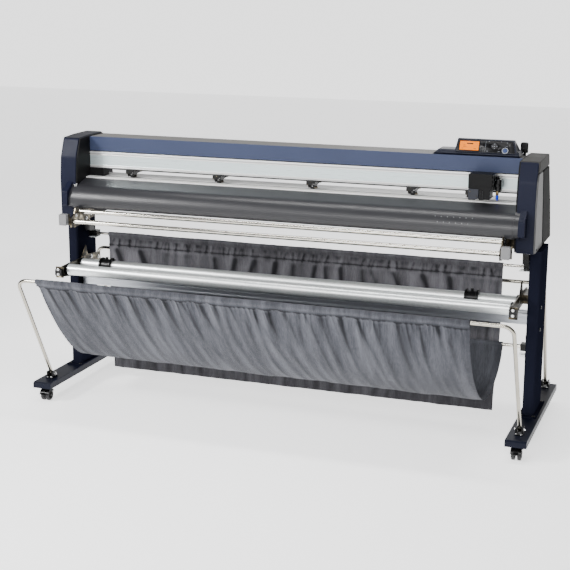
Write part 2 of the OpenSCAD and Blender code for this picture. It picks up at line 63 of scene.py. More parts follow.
class Paint:
    """A Principled material, with short calls for the texture nodes that vary it."""

    def __init__(self, name, color, rough, metal=0.0, **sockets):
        self.mat = bpy.data.materials.new(name)
        self.mat.use_nodes = True
        self.tree = self.mat.node_tree
        self.shader = self.tree.nodes["Principled BSDF"]
        self.color = color
        self.rough = rough
        self.shader.inputs["Base Color"].default_value = (*color, 1)
        self.shader.inputs["Roughness"].default_value = rough
        self.shader.inputs["Metallic"].default_value = metal
        for socket, value in sockets.items():
            self.shader.inputs[socket.replace("_", " ")].default_value = value
        self.bumps = None

    def add(self, kind, **settings):
        node = self.tree.nodes.new(kind)
        for key, value in settings.items():
            setattr(node, key, value)
        return node

    def link(self, output, node, socket):
        self.tree.links.new(output, node.inputs[socket])

    def place(self, stretch=(1, 1, 1), turn=0.0):
        """Object coordinates, turned about the Y axis and stretched along the axes."""
        coordinate = self.add("ShaderNodeTexCoord")
        mapping = self.add("ShaderNodeMapping")
        mapping.inputs["Rotation"].default_value = (0, turn, 0)
        mapping.inputs["Scale"].default_value = stretch
        self.link(coordinate.outputs["Object"], mapping, "Vector")
        return mapping.outputs["Vector"]

    def noise(self, scale, detail=3, stretch=(1, 1, 1), turn=0.0):
        node = self.add("ShaderNodeTexNoise")
        node.inputs["Scale"].default_value = scale
        node.inputs["Detail"].default_value = detail
        self.link(self.place(stretch, turn), node, "Vector")
        return node.outputs["Fac"]

    def cells(self, scale):
        node = self.add("ShaderNodeTexVoronoi")
        node.inputs["Scale"].default_value = scale
        self.link(self.place(), node, "Vector")
        return node.outputs["Color"]

    def wave(self, scale, direction, distortion=0.0, stretch=(1, 1, 1)):
        node = self.add("ShaderNodeTexWave", bands_direction=direction)
        node.inputs["Scale"].default_value = scale
        node.inputs["Distortion"].default_value = distortion
        self.link(self.place(stretch), node, "Vector")
        return node.outputs["Fac"]

    def height(self):
        """The object's own height coordinate."""
        split = self.add("ShaderNodeSeparateXYZ")
        coordinate = self.add("ShaderNodeTexCoord")
        self.link(coordinate.outputs["Object"], split, "Vector")
        return split.outputs["Z"]

    def stored(self, name):
        """A value kept on the mesh's own vertices."""
        return self.add("ShaderNodeAttribute", attribute_name=name).outputs["Fac"]

    def math(self, operation, first, second):
        node = self.add("ShaderNodeMath", operation=operation)
        for index, value in enumerate((first, second)):
            if isinstance(value, (int, float)):
                node.inputs[index].default_value = value
            else:
                self.link(value, node, index)
        return node.outputs[0]

    def ramp(self, value, stops):
        node = self.add("ShaderNodeValToRGB")
        elements = node.color_ramp.elements
        while len(elements) < len(stops):
            elements.new(0.5)
        for element, (position, color) in zip(elements, stops):
            element.position = position
            element.color = (*color, 1)
        self.link(value, node, "Fac")
        return node.outputs["Color"]

    def remap(self, value, low, high, from_low=0.0, from_high=1.0):
        node = self.add("ShaderNodeMapRange")
        node.inputs["From Min"].default_value = from_low
        node.inputs["From Max"].default_value = from_high
        node.inputs["To Min"].default_value = low
        node.inputs["To Max"].default_value = high
        self.link(value, node, "Value")
        return node.outputs["Result"]

    def mix(self, share, first, second, blend="MIX"):
        node = self.add("ShaderNodeMix", data_type="RGBA", blend_type=blend)
        for socket, value in ((0, share), (6, first), (7, second)):
            if isinstance(value, tuple):
                node.inputs[socket].default_value = (*value, 1)
            elif isinstance(value, (int, float)):
                node.inputs[socket].default_value = value
            else:
                self.link(value, node, socket)
        return node.outputs[2]

    def tint(self, value, amount):
        """Varies the base colour from darker to lighter by the given share."""
        dark = tuple(c * (1 - amount) for c in self.color)
        light = tuple(min(1, c * (1 + amount)) for c in self.color)
        self.link(self.ramp(value, [(0.3, dark), (0.7, light)]), self.shader, "Base Color")

    def base(self, output):
        self.link(output, self.shader, "Base Color")

    def vary_rough(self, value, amount):
        self.link(self.remap(value, self.rough - amount, self.rough + amount), self.shader, "Roughness")

    def bump(self, value, depth):
        """Adds a relief of the given depth in metres."""
        node = self.add("ShaderNodeBump")
        node.inputs["Strength"].default_value = 1
        node.inputs["Distance"].default_value = depth
        self.link(value, node, "Height")
        if self.bumps:
            self.link(self.bumps, node, "Normal")
        self.bumps = node.outputs["Normal"]
        self.link(self.bumps, self.shader, "Normal")


def powder_coat(name, color, rough=0.38, shine=0.12):
    """Painted sheet steel: an even colour with a faint orange peel."""
    paint = Paint(name, color, rough, Specular_IOR_Level=shine)
    paint.tint(paint.noise(3, 4), 0.07)
    paint.vary_rough(paint.noise(9, 4), 0.05)
    paint.bump(paint.noise(420, 2), 0.00006)
    return paint.mat


def moulding(name, color, rough=0.42, grain=0.00008, shine=0.28):
    """Injection-moulded plastic with a fine spark-eroded grain."""
    paint = Paint(name, color, rough, Specular_IOR_Level=shine)
    paint.tint(paint.noise(4, 3), 0.05)
    paint.vary_rough(paint.noise(30, 3), 0.05)
    paint.bump(paint.cells(900), grain)
    return paint.mat


def smooth_black(name, color=(0.004, 0.004, 0.0045), rough=0.28):
    paint = Paint(name, color, rough, Specular_IOR_Level=0.25)
    paint.tint(paint.noise(25, 3), 0.25)
    paint.vary_rough(paint.noise(60, 3), 0.08)
    paint.bump(paint.noise(300, 2), 0.00003)
    return paint.mat


def chrome(name, color=(0.66, 0.63, 0.57)):
    """Plated tube: mirror-like, with hairline marks round it and a faint warm tone."""
    paint = Paint(name, color, 0.14, metal=1.0)
    paint.tint(paint.noise(5, 3, stretch=(0.4, 3, 3)), 0.06)
    paint.vary_rough(paint.noise(9, 3, stretch=(0.2, 2, 2)), 0.04)
    return paint.mat


def galvanised(name, color=(0.93, 0.97, 0.97)):
    """Zinc-coated tube: bluish patches with a soft shine."""
    paint = Paint(name, color, 0.34, metal=0.75)
    spangle = paint.mix(0.25, paint.noise(16, 5, stretch=(0.3, 1, 1)), paint.cells(140))
    dark = tuple(c * 0.88 for c in color)
    light = tuple(min(1, c * 1.1) for c in color)
    paint.base(paint.ramp(spangle, [(0.32, dark), (0.5, color), (0.68, light)]))
    paint.vary_rough(spangle, 0.06)
    paint.bump(paint.noise(70, 4, stretch=(0.5, 1, 1)), 0.00004)
    return paint.mat


def brushed(name, color, rough=0.34, along="X", metal=0.9, tint=0.06):
    """Drawn or extruded metal with fine lines along one axis."""
    stretch = {"X": (0.02, 1, 1), "Y": (1, 0.02, 1), "Z": (1, 1, 0.02)}[along]
    paint = Paint(name, color, rough, metal=metal)
    lines = paint.noise(900, 2, stretch=stretch)
    paint.tint(paint.noise(6, 3, stretch=stretch), tint)
    paint.vary_rough(lines, 0.08)
    paint.bump(lines, 0.00002)
    return paint.mat


def zinc_bronze(name, color=(0.06, 0.05, 0.034)):
    """Olive-yellow chromate on steel, uneven, with bright spots painted in as glints."""
    paint = Paint(name, color, 0.3, metal=0.95)
    patches = paint.noise(38, 5)
    # Painted highlights: the lightest stops make bright spots where the noise is high, standing in for
    # glints.
    paint.base(paint.ramp(patches, [(0.38, (0.01, 0.009, 0.007)), (0.55, color), (0.68, (0.3, 0.26, 0.18)),
                                    (0.8, (0.7, 0.67, 0.6))]))
    paint.vary_rough(paint.noise(70, 3), 0.1)
    paint.bump(paint.noise(260, 3), 0.00004)
    return paint.mat


def rail_metal(name):
    """Extruded rail with a pale cyan anodised band between bright silver lips."""
    low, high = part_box("y_rail")
    paint = Paint(name, (0.75, 0.77, 0.77), 0.3, metal=0.55)
    share = paint.remap(paint.height(), 0, 1, low.z, high.z)
    silver = (0.8, 0.81, 0.8)
    cyan = (0.6, 0.69, 0.7)
    gray = (0.34, 0.34, 0.34)
    bands = paint.ramp(share, [(0.0, gray), (0.14, silver), (0.19, cyan), (0.74, cyan), (0.79, silver),
                               (0.86, (0.42, 0.42, 0.42)), (0.93, silver)])
    paint.base(bands)
    lines = paint.noise(700, 2, stretch=(0.01, 1, 1))
    paint.vary_rough(lines, 0.08)
    paint.bump(lines, 0.00002)
    return paint.mat


def woven(name, color, light, lean):
    """Plain-woven polyester: threads both ways, slubs, and streaks that follow the gathers, with painted
    shade in the valleys of the folds and along the streaks.
    """
    paint = Paint(name, color, 0.9, Sheen_Weight=0.08, Sheen_Roughness=0.5, Specular_IOR_Level=0.12)
    across_threads = paint.wave(620, "X", 1.2)
    down_threads = paint.wave(620, "Z", 1.2, stretch=(1, 0.6, 1))
    threads = paint.math("MULTIPLY", across_threads, down_threads)
    slubs = paint.noise(260, 3, stretch=(1, 0.15, 0.15))
    streaks = paint.noise(26, 4, stretch=(1, 0.1, 0.1), turn=lean)
    wash = paint.noise(9, 4, stretch=(1, 0.35, 0.35), turn=-lean)
    tone = paint.mix(0.35, slubs, threads)
    # Painted shade: the streaks, which also bump the cloth, darken and lighten its colour along the gathered
    # folds.
    tone = paint.mix(0.5, tone, streaks)
    tone = paint.mix(0.3, tone, wash)
    weave = paint.ramp(tone, [(0.4, color), (0.56, light)])
    # Painted shade: the stored crease value darkens the colour in the valleys of the folds, and lightens it
    # a little on the ridges.
    crease_shade_stops = [(0.0, (0.16, 0.16, 0.17)), (0.55, (0.8, 0.8, 0.8)), (1.0, (1.12, 1.12, 1.12))]
    crease_shade = paint.ramp(paint.stored("crease"), crease_shade_stops)
    paint.base(paint.mix(1.0, weave, crease_shade, "MULTIPLY"))
    paint.bump(threads, 0.0002)
    paint.bump(streaks, 0.0022)
    return paint.mat


def glowing(name, color, strength):
    """Backlit display glass."""
    paint = Paint(name, color, 0.2, Emission_Color=(*color, 1), Emission_Strength=strength)
    paint.tint(paint.noise(30, 2), 0.06)
    return paint.mat


def rubber(name, color=(0.014, 0.014, 0.015)):
    paint = Paint(name, color, 0.62)
    paint.tint(paint.noise(40, 4), 0.3)
    paint.bump(paint.noise(500, 3), 0.00008)
    return paint.mat


def grit_coat(name):
    """Drum: ground steel, with blasted grit where the pinch wheels run."""
    paint = Paint(name, (0.42, 0.42, 0.41), 0.45, metal=0.9)
    paint.tint(paint.noise(60, 3), 0.15)
    paint.bump(paint.cells(1400), 0.0002)
    return paint.mat


MAT = {
    "navy": powder_coat("navy_paint", (0.0042, 0.0056, 0.014)),
    "column": powder_coat("column_paint", (0.009, 0.01, 0.0185), 0.5, 0.0),
    "navy_cover": moulding("navy_cover", (0.0046, 0.0062, 0.018), 0.44, shine=0.14),
    "gray_cover": moulding("gray_cover", (0.016, 0.016, 0.016), 0.65, shine=0.03),
    "gray_top": powder_coat("gray_top", (0.125, 0.121, 0.116), 0.45),
    "dark_frame": powder_coat("dark_frame", (0.004, 0.004, 0.0045), 0.55),
    "aluminium": brushed("satin_aluminium", (0.5, 0.52, 0.56), 0.36),
    "rail": rail_metal("rail_aluminium"),
    "platen": brushed("white_platen", (0.8, 0.8, 0.79), 0.4, metal=0.25),
    "strip": moulding("tan_strip", (0.3, 0.27, 0.17), 0.5),
    "charcoal": moulding("charcoal_cover", (0.019, 0.019, 0.022), 0.34, 0.00001, 0.45),
    "dull": moulding("charcoal_dull", (0.007, 0.007, 0.008), 0.6, shine=0.04),
    "console": moulding("console_navy", (0.0065, 0.008, 0.017), 0.38),
    "panel": smooth_black("panel_black", (0.008, 0.008, 0.009), 0.3),
    "key": smooth_black("key_gray", (0.02, 0.02, 0.022), 0.4),
    "bronze": zinc_bronze("bronze_steel"),
    "cap": moulding("light_gray_cap", (0.2, 0.2, 0.205), 0.5),
    "chrome": chrome("chrome_bar", (0.7, 0.67, 0.6)),
    "pole": chrome("chrome_pole", (0.42, 0.395, 0.34)),
    "zinc": galvanised("zinc_tube"),
    "black": smooth_black("black_plastic"),
    "carriage": moulding("carriage_black", (0.003, 0.003, 0.0032), 0.42, shine=0.15),
    "steel": smooth_black("black_steel", (0.006, 0.006, 0.0065), 0.3),
    "grit": grit_coat("grit_steel"),
    "tyre": rubber("caster_tyre"),
    "back_fabric": woven("back_fabric", (0.092, 0.09, 0.1), (0.19, 0.187, 0.206), 0.03),
    "basket_fabric": woven("basket_fabric", (0.052, 0.054, 0.064), (0.114, 0.118, 0.136), 0.1),
    "beam": moulding("beam_navy", (0.034, 0.045, 0.092), 0.42, shine=0.25),
    "cap_gray": moulding("cap_gray", (0.044, 0.043, 0.041), 0.6, shine=0.06),
    "gray_light": moulding("gray_light", (0.075, 0.075, 0.075), 0.45, shine=0.2),
    "navy_top": powder_coat("navy_top", (0.014, 0.015, 0.021), 0.45),
    "frame_black": powder_coat("frame_black", (0.004, 0.004, 0.005), 0.6),
    "silver": brushed("silver_key", (0.72, 0.72, 0.72), 0.28, metal=1.0),
    "display": glowing("orange_display", (0.8, 0.19, 0.0), 0.42),
    "mark": smooth_black("display_mark", (0.02, 0.015, 0.01), 0.4),
    "white_mark": moulding("white_mark", (0.3, 0.32, 0.36), 0.4, 0.00001),
    "blue_key": smooth_black("blue_key", (0.05, 0.07, 0.16), 0.25),
    "slate": moulding("guard_slate", (0.018, 0.02, 0.028), 0.45),
    "brass": brushed("blade_brass", (0.3, 0.22, 0.12), 0.3, "Z", 1.0, 0.2),
    "blue_tip": smooth_black("blue_tip", (0.002, 0.03, 0.65), 0.35),
}


# --- mesh helpers

def bezier(start, handle, end, count):
    """Points of a quadratic curve, without its first one."""
    points = []
    for i in range(1, count + 1):
        t = i / count
        points.append(tuple((1 - t) ** 2 * a + 2 * t * (1 - t) * h + t * t * b
                            for a, h, b in zip(start, handle, end)))
    return points


def rounded(corners, radii, count=5):
    """Outline with its corners rounded. radii is one radius, or one for each corner."""
    points = []
    total = len(corners)
    for i, corner in enumerate(corners):
        radius = radii[i] if isinstance(radii, (list, tuple)) else radii
        before, here, after = Vector(corners[i - 1]), Vector(corner), Vector(corners[(i + 1) % total])
        reach = min(radius, (before - here).length * 0.48, (after - here).length * 0.48)
        if reach <= 0:
            points.append(tuple(here))
            continue
        start = here + (before - here).normalized() * reach
        end = here + (after - here).normalized() * reach
        points.append(tuple(start))
        points.extend(bezier(start, here, end, count))
    return points


def arc(centre, radius, first, last, count):
    """Points of an arc, with its angles in degrees."""
    points = []
    for i in range(count + 1):
        angle = math.radians(first + (last - first) * i / count)
        points.append((centre[0] + radius * math.cos(angle), centre[1] + radius * math.sin(angle)))
    return points


def spread(axis, along, pair):
    """A point from its place along an axis and its two other coordinates, in x, y, z order."""
    if axis == "X":
        return Vector((along, pair[0], pair[1]))
    if axis == "Y":
        return Vector((pair[0], along, pair[1]))
    return Vector((pair[0], pair[1], along))


def prism(bm, outline, low, high, axis="X"):
    """Extrudes an outline along an axis: (y, z) along X, (x, z) along Y, (x, y) along Z."""
    rings = [[bm.verts.new(spread(axis, along, p)) for p in outline] for along in (low, high)]
    bm.faces.new(rings[0])
    bm.faces.new(reversed(rings[1]))
    count = len(outline)
    for i in range(count):
        k = (i + 1) % count
        bm.faces.new((rings[0][k], rings[0][i], rings[1][i], rings[1][k]))
    return rings


def block(bm, low, high):
    """A plain box between two corners; its edges are rounded when the piece is made."""
    outline = [(low[0], low[1]), (high[0], low[1]), (high[0], high[1]), (low[0], high[1])]
    prism(bm, outline, low[2], high[2], "Z")


def skin(bm, rings, closed=True):
    """Faces between each row of vertices and the next."""
    count = len(rings[0])
    for a, b in zip(rings, rings[1:]):
        for i in range(count if closed else count - 1):
            k = (i + 1) % count
            bm.faces.new((a[i], a[k], b[k], b[i]))


def round_vert(bm, centre, axis, along, radius, angle):
    """A vertex at an angle and a radius round an axis through centre."""
    pair = (radius * math.cos(angle), radius * math.sin(angle))
    return bm.verts.new(Vector(centre) + spread(axis, along, pair))


def turned(bm, profile, centre, axis="X", count=40):
    """Turns a profile of (along, radius) points round an axis through centre."""
    rings = []
    for along, radius in profile:
        rings.append([round_vert(bm, centre, axis, along, radius, TAU * i / count) for i in range(count)])
    skin(bm, rings)
    bm.faces.new(rings[0])
    bm.faces.new(reversed(rings[-1]))


def lathe(bm, loop, centre, axis="X", count=40):
    """Turns a closed loop of (along, radius) points round an axis, so that it keeps its bore."""
    rings = []
    for i in range(count):
        angle = TAU * i / count
        rings.append([round_vert(bm, centre, axis, along, radius, angle) for along, radius in loop])
    skin(bm, [*rings, rings[0]])


def swept(bm, path, radius, count=14):
    """A round tube along a path of points."""
    points = [Vector(p) for p in path]
    side = None
    rings = []
    for i, point in enumerate(points):
        tangent = (points[min(i + 1, len(points) - 1)] - points[max(i - 1, 0)]).normalized()
        if side is None:
            side = tangent.orthogonal().normalized()
        side = (side - tangent * side.dot(tangent)).normalized()
        other = tangent.cross(side)
        rings.append([bm.verts.new(point + radius * (side * math.cos(TAU * k / count)
                                                     + other * math.sin(TAU * k / count)))
                      for k in range(count)])
    skin(bm, rings)
    bm.faces.new(reversed(rings[0]))
    bm.faces.new(rings[-1])


def mesh_object(name, bm, material):
    """Makes an object from bm, moved into the frame."""
    bmesh.ops.recalc_face_normals(bm, faces=bm.faces)
    bmesh.ops.translate(bm, verts=bm.verts, vec=(0, Y0, 0))
    mesh = bpy.data.meshes.new(name)
    bm.to_mesh(mesh)
    bm.free()
    obj = bpy.data.objects.new(name, mesh)
    bpy.context.scene.collection.objects.link(obj)
    mesh.materials.append(MAT[material])
    mesh.shade_smooth()
    return obj


def keep_result(obj):
    """Applies every modifier of a piece."""
    evaluated = obj.evaluated_get(bpy.context.evaluated_depsgraph_get())
    fresh = bpy.data.meshes.new_from_object(evaluated)
    obj.modifiers.clear()
    obj.data = fresh


def cut(obj, make):
    """Cuts away the solid that make(bm) draws."""
    bm = bmesh.new()
    make(bm)
    tool = mesh_object("cutter", bm, "black")
    boolean = obj.modifiers.new("cut", "BOOLEAN")
    boolean.operation = "DIFFERENCE"
    boolean.solver = "EXACT"
    boolean.object = tool
    bpy.context.view_layer.update()
    keep_result(obj)
    bpy.data.objects.remove(tool)


def soften(obj, width, segments=2):
    """Rounds the sharp edges of a piece, and keeps its flat faces flat."""
    bevel = obj.modifiers.new("edges", "BEVEL")
    bevel.width = width
    bevel.segments = segments
    bevel.limit_method = "ANGLE"
    bevel.angle_limit = math.radians(35)
    bevel.use_clamp_overlap = True
    bevel.miter_outer = "MITER_ARC"
    normals = obj.modifiers.new("normals", "WEIGHTED_NORMAL")
    normals.keep_sharp = True
    normals.weight = 80


def piece(name, draw, material, body=MACHINE, width=0.0008, stands_for=(), segments=2):
    """A piece drawn by draw(bm), with rounded edges, that rides on a body."""
    bm = bmesh.new()
    draw(bm)
    obj = mesh_object(name, bm, material)
    if width:
        soften(obj, width, segments)
    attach(obj, body)
    if stands_for:
        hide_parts(*stands_for)
    return obj


def boxes(name, corners, material, body=MACHINE, width=0.0008):
    """A piece made of plain blocks, each given by two corners."""
    def draw(bm):
        for low, high in corners:
            block(bm, low, high)
    piece(name, draw, material, body, width)


def finish_node(name, material, width=0.0):
    """Gives a CAD node its material, and rounds its sharp edges by width."""
    obj = NODES[name]
    obj.data.materials.clear()
    obj.data.materials.append(MAT[material])
    if width:
        weld = obj.modifiers.new("weld", "WELD")
        weld.merge_threshold = 0.00002
        flat = obj.modifiers.new("flat", "DECIMATE")
        flat.decimate_type = "DISSOLVE"
        flat.angle_limit = math.radians(0.5)
        soften(obj, width)


def frange(first, last, count):
    """Evenly spaced values, with both ends."""
    return [first + (last - first) * i / (count - 1) for i in range(count)]


def smooth(low, high, value):
    """Rises from 0 at low to 1 at high, with soft ends."""
    t = min(1.0, max(0.0, (value - low) / (high - low)))
    return t * t * (3 - 2 * t)


# --- studio

def studio():
    """White sweep, soft lights and the camera at the product shot's angle."""
    bm = bmesh.new()
    half = 14
    block(bm, (-half, -half, -0.02), (half, half, 0))
    floor = mesh_object("floor", bm, "platen")
    white = Paint("floor_white", (0.9, 0.9, 0.9), 0.75, Emission_Color=(1, 1, 1, 1), Emission_Strength=1.35)
    white.tint(white.noise(2, 2), 0.01)
    floor.data.materials[0] = white.mat

    world = bpy.data.worlds.new("studio")
    bpy.context.scene.world = world
    world.use_nodes = True
    background = world.node_tree.nodes["Background"]
    nodes, links = world.node_tree.nodes, world.node_tree.links
    coordinate = nodes.new("ShaderNodeTexCoord")
    split = nodes.new("ShaderNodeSeparateXYZ")
    ramp = nodes.new("ShaderNodeValToRGB")
    links.new(coordinate.outputs["Generated"], split.inputs["Vector"])
    links.new(split.outputs["Z"], ramp.inputs["Fac"])
    links.new(ramp.outputs["Color"], background.inputs["Color"])
    ramp.color_ramp.elements[0].position = 0.06
    ramp.color_ramp.elements[0].color = (0.55, 0.55, 0.55, 1)
    low_sky = ramp.color_ramp.elements.new(0.02)
    low_sky.color = (1, 1, 1, 1)
    high_sky = ramp.color_ramp.elements[-1]
    high_sky.position = 0.55
    high_sky.color = (0.13, 0.13, 0.135, 1)
    background.inputs["Strength"].default_value = 2.2

    def softbox(name, place, aim, size, power):
        light = bpy.data.lights.new(name, "AREA")
        light.shape = "RECTANGLE"
        light.size, light.size_y = size
        light.energy = power
        lamp = bpy.data.objects.new(name, light)
        bpy.context.scene.collection.objects.link(lamp)
        lamp.location = place
        lamp.rotation_mode = "QUATERNION"
        lamp.rotation_quaternion = (Vector(aim) - Vector(place)).to_track_quat("-Z", "Y")

    softbox("key", (-3.4, -3.0, 3.2), (-0.2, 0, 0.7), (1.4, 1.0), 250)
    softbox("front", (0.4, -5.6, 3.3), (0, -0.1, 0.9), (4.2, 0.8), 190)
    softbox("top", (0.0, -0.2, 4.0), (0, -0.1, 0.9), (3.2, 0.4), 80)
    softbox("back", (0.5, 3.6, 2.6), (0, 0, 0.9), (3.0, 1.0), 30)
    black = Paint("card_black", (0.01, 0.01, 0.01), 0.9)
    black.tint(black.noise(2, 2), 0.05)
    for side in (-1, 1):
        card_mesh = bmesh.new()
        low, high = across(side, 3.0, 3.05)
        block(card_mesh, (low, -2.4, 0.0), (high, 1.1, 2.4))
        card = mesh_object("card_left" if side < 0 else "card_right", card_mesh, "platen")
        card.data.materials[0] = black.mat

    camera = bpy.data.cameras.new("camera")
    camera.sensor_width = 36
    camera.lens = 81.84
    eye = bpy.data.objects.new("camera", camera)
    bpy.context.scene.collection.objects.link(eye)
    yaw, pitch, roll = math.radians(19.809), math.radians(13.538), math.radians(0.278)
    forward = Vector((-math.sin(yaw) * math.cos(pitch), math.cos(yaw) * math.cos(pitch), -math.sin(pitch)))
    right = Vector((math.cos(yaw), math.sin(yaw), 0))
    up = right.cross(forward)
    sideways = right * math.cos(roll) + up * math.sin(roll)
    upward = up * math.cos(roll) - right * math.sin(roll)
    turn = Matrix((sideways, upward, -forward)).transposed()
    eye.matrix_world = Matrix.Translation((1.8535, Y0 - 5.2871, 1.8977)) @ turn.to_4x4()
    bpy.context.scene.camera = eye


# --- stand

def stand():
    """The CAD nodes that are kept, each with its material and rounded edges."""
    for side in ("left", "right"):
        finish_node("foot_" + side, "navy", 0.0015)
        finish_node("column_" + side, "column", 0.001)
    finish_node("crossbar", "aluminium", 0.0008)
    finish_node("chassis", "dull", 0.001)
    finish_node("platen", "platen", 0.0006)
    finish_node("cutting_strip", "strip")
    finish_node("front_cover", "charcoal", 0.0008)
    finish_node("rear_cover", "dull", 0.0008)
    finish_node("beam_cover", "beam", 0.001)
    finish_node("beam_top", "gray_top", 0.001)
    finish_node("y_rail", "rail", 0.0006)
    finish_node("side_frames", "dark_frame", 0.001)
    finish_node("guide_bar_brackets", "bronze", 0.0008)
    finish_node("guide_bar_blocks", "cap", 0.0012)
    finish_node("tube_brackets", "bronze", 0.0008)
    for name in ("front_tube", "rear_tube"):
        finish_node(name, "zinc")
    for name in ("upper_guide_bar", "lower_guide_bar", "cloth_rods"):
        finish_node(name, "chrome")
    for name in ("front_pole", "rear_pole"):
        finish_node(name, "pole")
    finish_node("rod_clamps", "black", 0.001)
    finish_node("grit_drum", "grit")
    finish_node("pivot_shaft", "steel")


# --- side covers and cheeks

COVER = [(0.248, 0.8), (-0.158, 0.8), (-0.168, 0.814), (-0.17, 1.000), (-0.16, 1.09), (-0.128, 1.171),
         (-0.03, 1.1765), (0.094, 1.177), (0.104, 1.164), (0.196, 0.96)]
CAP_TOP = [(-0.122, 1.158), (-0.127, 1.1725), (-0.03, 1.178), (0.094, 1.1785), (0.1045, 1.165),
           (0.1, 1.158)]
CAP_SIDE = [(-0.137, 1.129), (-0.127, 1.1715), (-0.03, 1.1775), (0.094, 1.178), (0.1045, 1.165),
            (0.118, 1.129)]
SEAM = [(0.246, 0.802), (-0.15, 0.802), (-0.16, 1.000), (-0.15, 1.09), (-0.124, 1.165), (0.094, 1.165),
        (0.195, 0.96)]
STRIP = [(-0.155, 0.803), (0.02, 0.803), (-0.044, 1.124), (-0.138, 1.124), (-0.158, 1.09), (-0.168, 1.000),
         (-0.166, 0.816)]
SIDE_PANEL = [(0.036, 0.803), (0.246, 0.803), (0.194, 0.96), (0.12, 1.124), (-0.028, 1.124)]
CHEEK = [(-0.166, 0.982), (-0.222, 0.941), (-0.226, 0.88), (-0.166, 0.87)]
FRAME_OUT = 0.994


def across(side, near, far):
    """Low and high x of a piece that spans near to far on one side of the machine."""
    return sorted((side * near, side * far))


def slab(name, outline, side, near, far, material, width=0.0015, radius=0.004, stands_for=(), segments=2):
    """A plate of the given (y, z) outline with rounded corners."""
    low, high = across(side, near, far)
    return piece(name, lambda bm: prism(bm, rounded(outline, radius), low, high), material, MACHINE, width,
                 stands_for, segments)


def side_covers():
    slab("cover_right_core", COVER, 1, FRAME_OUT, 1.0665, "navy_cover", 0.003, 0.01,
         ("side_cover_right",), 3)
    slab("cover_right_seam", SEAM, 1, 1.064, 1.0672, "frame_black", 0.0002, 0.01)
    slab("cover_right_strip", STRIP, 1, 1.064, 1.0722, "gray_light", 0.003, 0.006, (), 4)
    slab("cover_right_panel", SIDE_PANEL, 1, 1.064, 1.0725, "gray_cover", 0.003, 0.006, (), 3)
    slab("cover_right_cap_top", CAP_TOP, 1, 0.9955, 1.0725, "cap_gray", 0.003, 0.004, (), 3)
    slab("cover_right_cap_side", CAP_SIDE, 1, 1.062, 1.0727, "cap_gray", 0.003, 0.004, (), 3)
    slab("cover_left_core", COVER, -1, FRAME_OUT, 1.072, "navy_cover", 0.003, 0.01,
         ("side_cover_left",), 3)
    slab("cover_left_cap", CAP_TOP, -1, 0.9955, 1.0725, "navy_top", 0.003, 0.004, (), 3)
    slab("cover_left_groove", [(-0.096, 0.86), (-0.096, 1.12), (-0.092, 1.12), (-0.092, 0.86)], -1, 1.07,
         1.0722, "frame_black", 0.0002, 0.001)
    for side, name in ((-1, "left"), (1, "right")):
        slab(f"cover_{name}_cheek", CHEEK, side, 1.01, 1.036, "navy_cover", 0.003, 0.004, (), 3)
        lens = [(-0.168, 0.972), *arc((-0.138, 0.893), 0.0745, 118, 194, 14), (-0.17, 0.866)]
        slab(f"cover_{name}_lens", lens, side, 0.987, 1.011, "charcoal", 0.002, 0.001, (), 2)
    power_inlet()


def power_inlet():
    """Appliance inlet in the rear of the left cover, with its three pins."""
    x_low, x_high = -1.052, -1.01
    z_low, z_high = 0.82, 0.846

    wall = 0.004
    boxes("power_inlet", [
        ((x_low, 0.21, z_low), (x_high, 0.243, z_low + wall)),
        ((x_low, 0.21, z_high - wall), (x_high, 0.238, z_high)),
        ((x_low, 0.21, z_low), (x_low + wall, 0.242, z_high)),
        ((x_high - wall, 0.21, z_low), (x_high, 0.242, z_high)),
        ((x_low, 0.2375, z_low), (x_high, 0.2385, z_high)),
    ], "black", width=0.0006)
    pins = [((x - 0.001, 0.236, z - 0.003), (x + 0.001, 0.2405, z + 0.003))
            for x, z in ((-1.039, 0.831), (-1.031, 0.836), (-1.023, 0.831))]
    boxes("power_pins", pins, "silver", width=0.0003)


# --- front cover's studs

def cover_studs():
    """Two rows of small bright vent eyelets in the front cover."""
    arc_centre = Vector((-0.138, 0.893))

    def draw(bm):
        for count, first, last, height in ((7, 0.668, 0.821, 0.94), (6, 0.68, 0.806, 0.919)):
            rise = height - arc_centre.y
            reach = math.sqrt(0.0762 ** 2 - rise ** 2)
            tilt = math.atan2(rise, reach)
            for x in frange(first, last, count):
                stud = bmesh.new()
                turned(stud, [(-0.001, 0.0022), (0.0003, 0.0022), (0.0006, 0.0018), (0.0007, 0.001)],
                       (0, 0, 0), "Y", 14)
                stud.transform(Matrix.Rotation(math.pi, 4, "Z"))
                stud.transform(Matrix.Rotation(-tilt, 4, "X"))
                stud.transform(Matrix.Translation((x, arc_centre.x - reach, height)))
                join(bm, stud)

    piece("cover_studs", draw, "cap", width=0)


def join(bm, other):
    """Adds the geometry of another bmesh, and frees it."""
    copy = bpy.data.meshes.new("part")
    other.to_mesh(copy)
    other.free()
    bm.from_mesh(copy)
    bpy.data.meshes.remove(copy)


# --- console

PANEL = Matrix.Translation((0, -0.036, 1.184)) @ Matrix.Rotation(math.radians(64), 4, "X")
BUTTON = (0.911, 0.014)
PAD = (0.866, 0.031)
LCD = (0.722, 0.801, 0.01, 0.048)


def on_panel(draw):
    """Draws in the panel's own frame: x across, y up the slope, z out of its face."""
    def placed(bm):
        draw(bm)
        bm.transform(PANEL)
    return placed


def slanted(bm, outline, low, high, left_slope, right_slope, base_z):
    """A prism along X whose two ends lean inwards as they rise."""
    rings = prism(bm, outline, low, high)
    for vert in rings[0]:
        vert.co.x += left_slope * max(0.0, vert.co.z - base_z)
    for vert in rings[1]:
        vert.co.x -= right_slope * max(0.0, vert.co.z - base_z)


def oblong(low_x, high_x, low_v, high_v):
    return [(low_x, low_v), (high_x, low_v), (high_x, high_v), (low_x, high_v)]


def panel_plate(name, outline, radius, low, high, material, width, stands_for=()):
    """A plate with rounded corners that lies on the panel."""
    draw = on_panel(lambda bm: prism(bm, rounded(outline, radius), low, high, "Z"))
    return piece(name, draw, material, width=width, stands_for=stands_for)


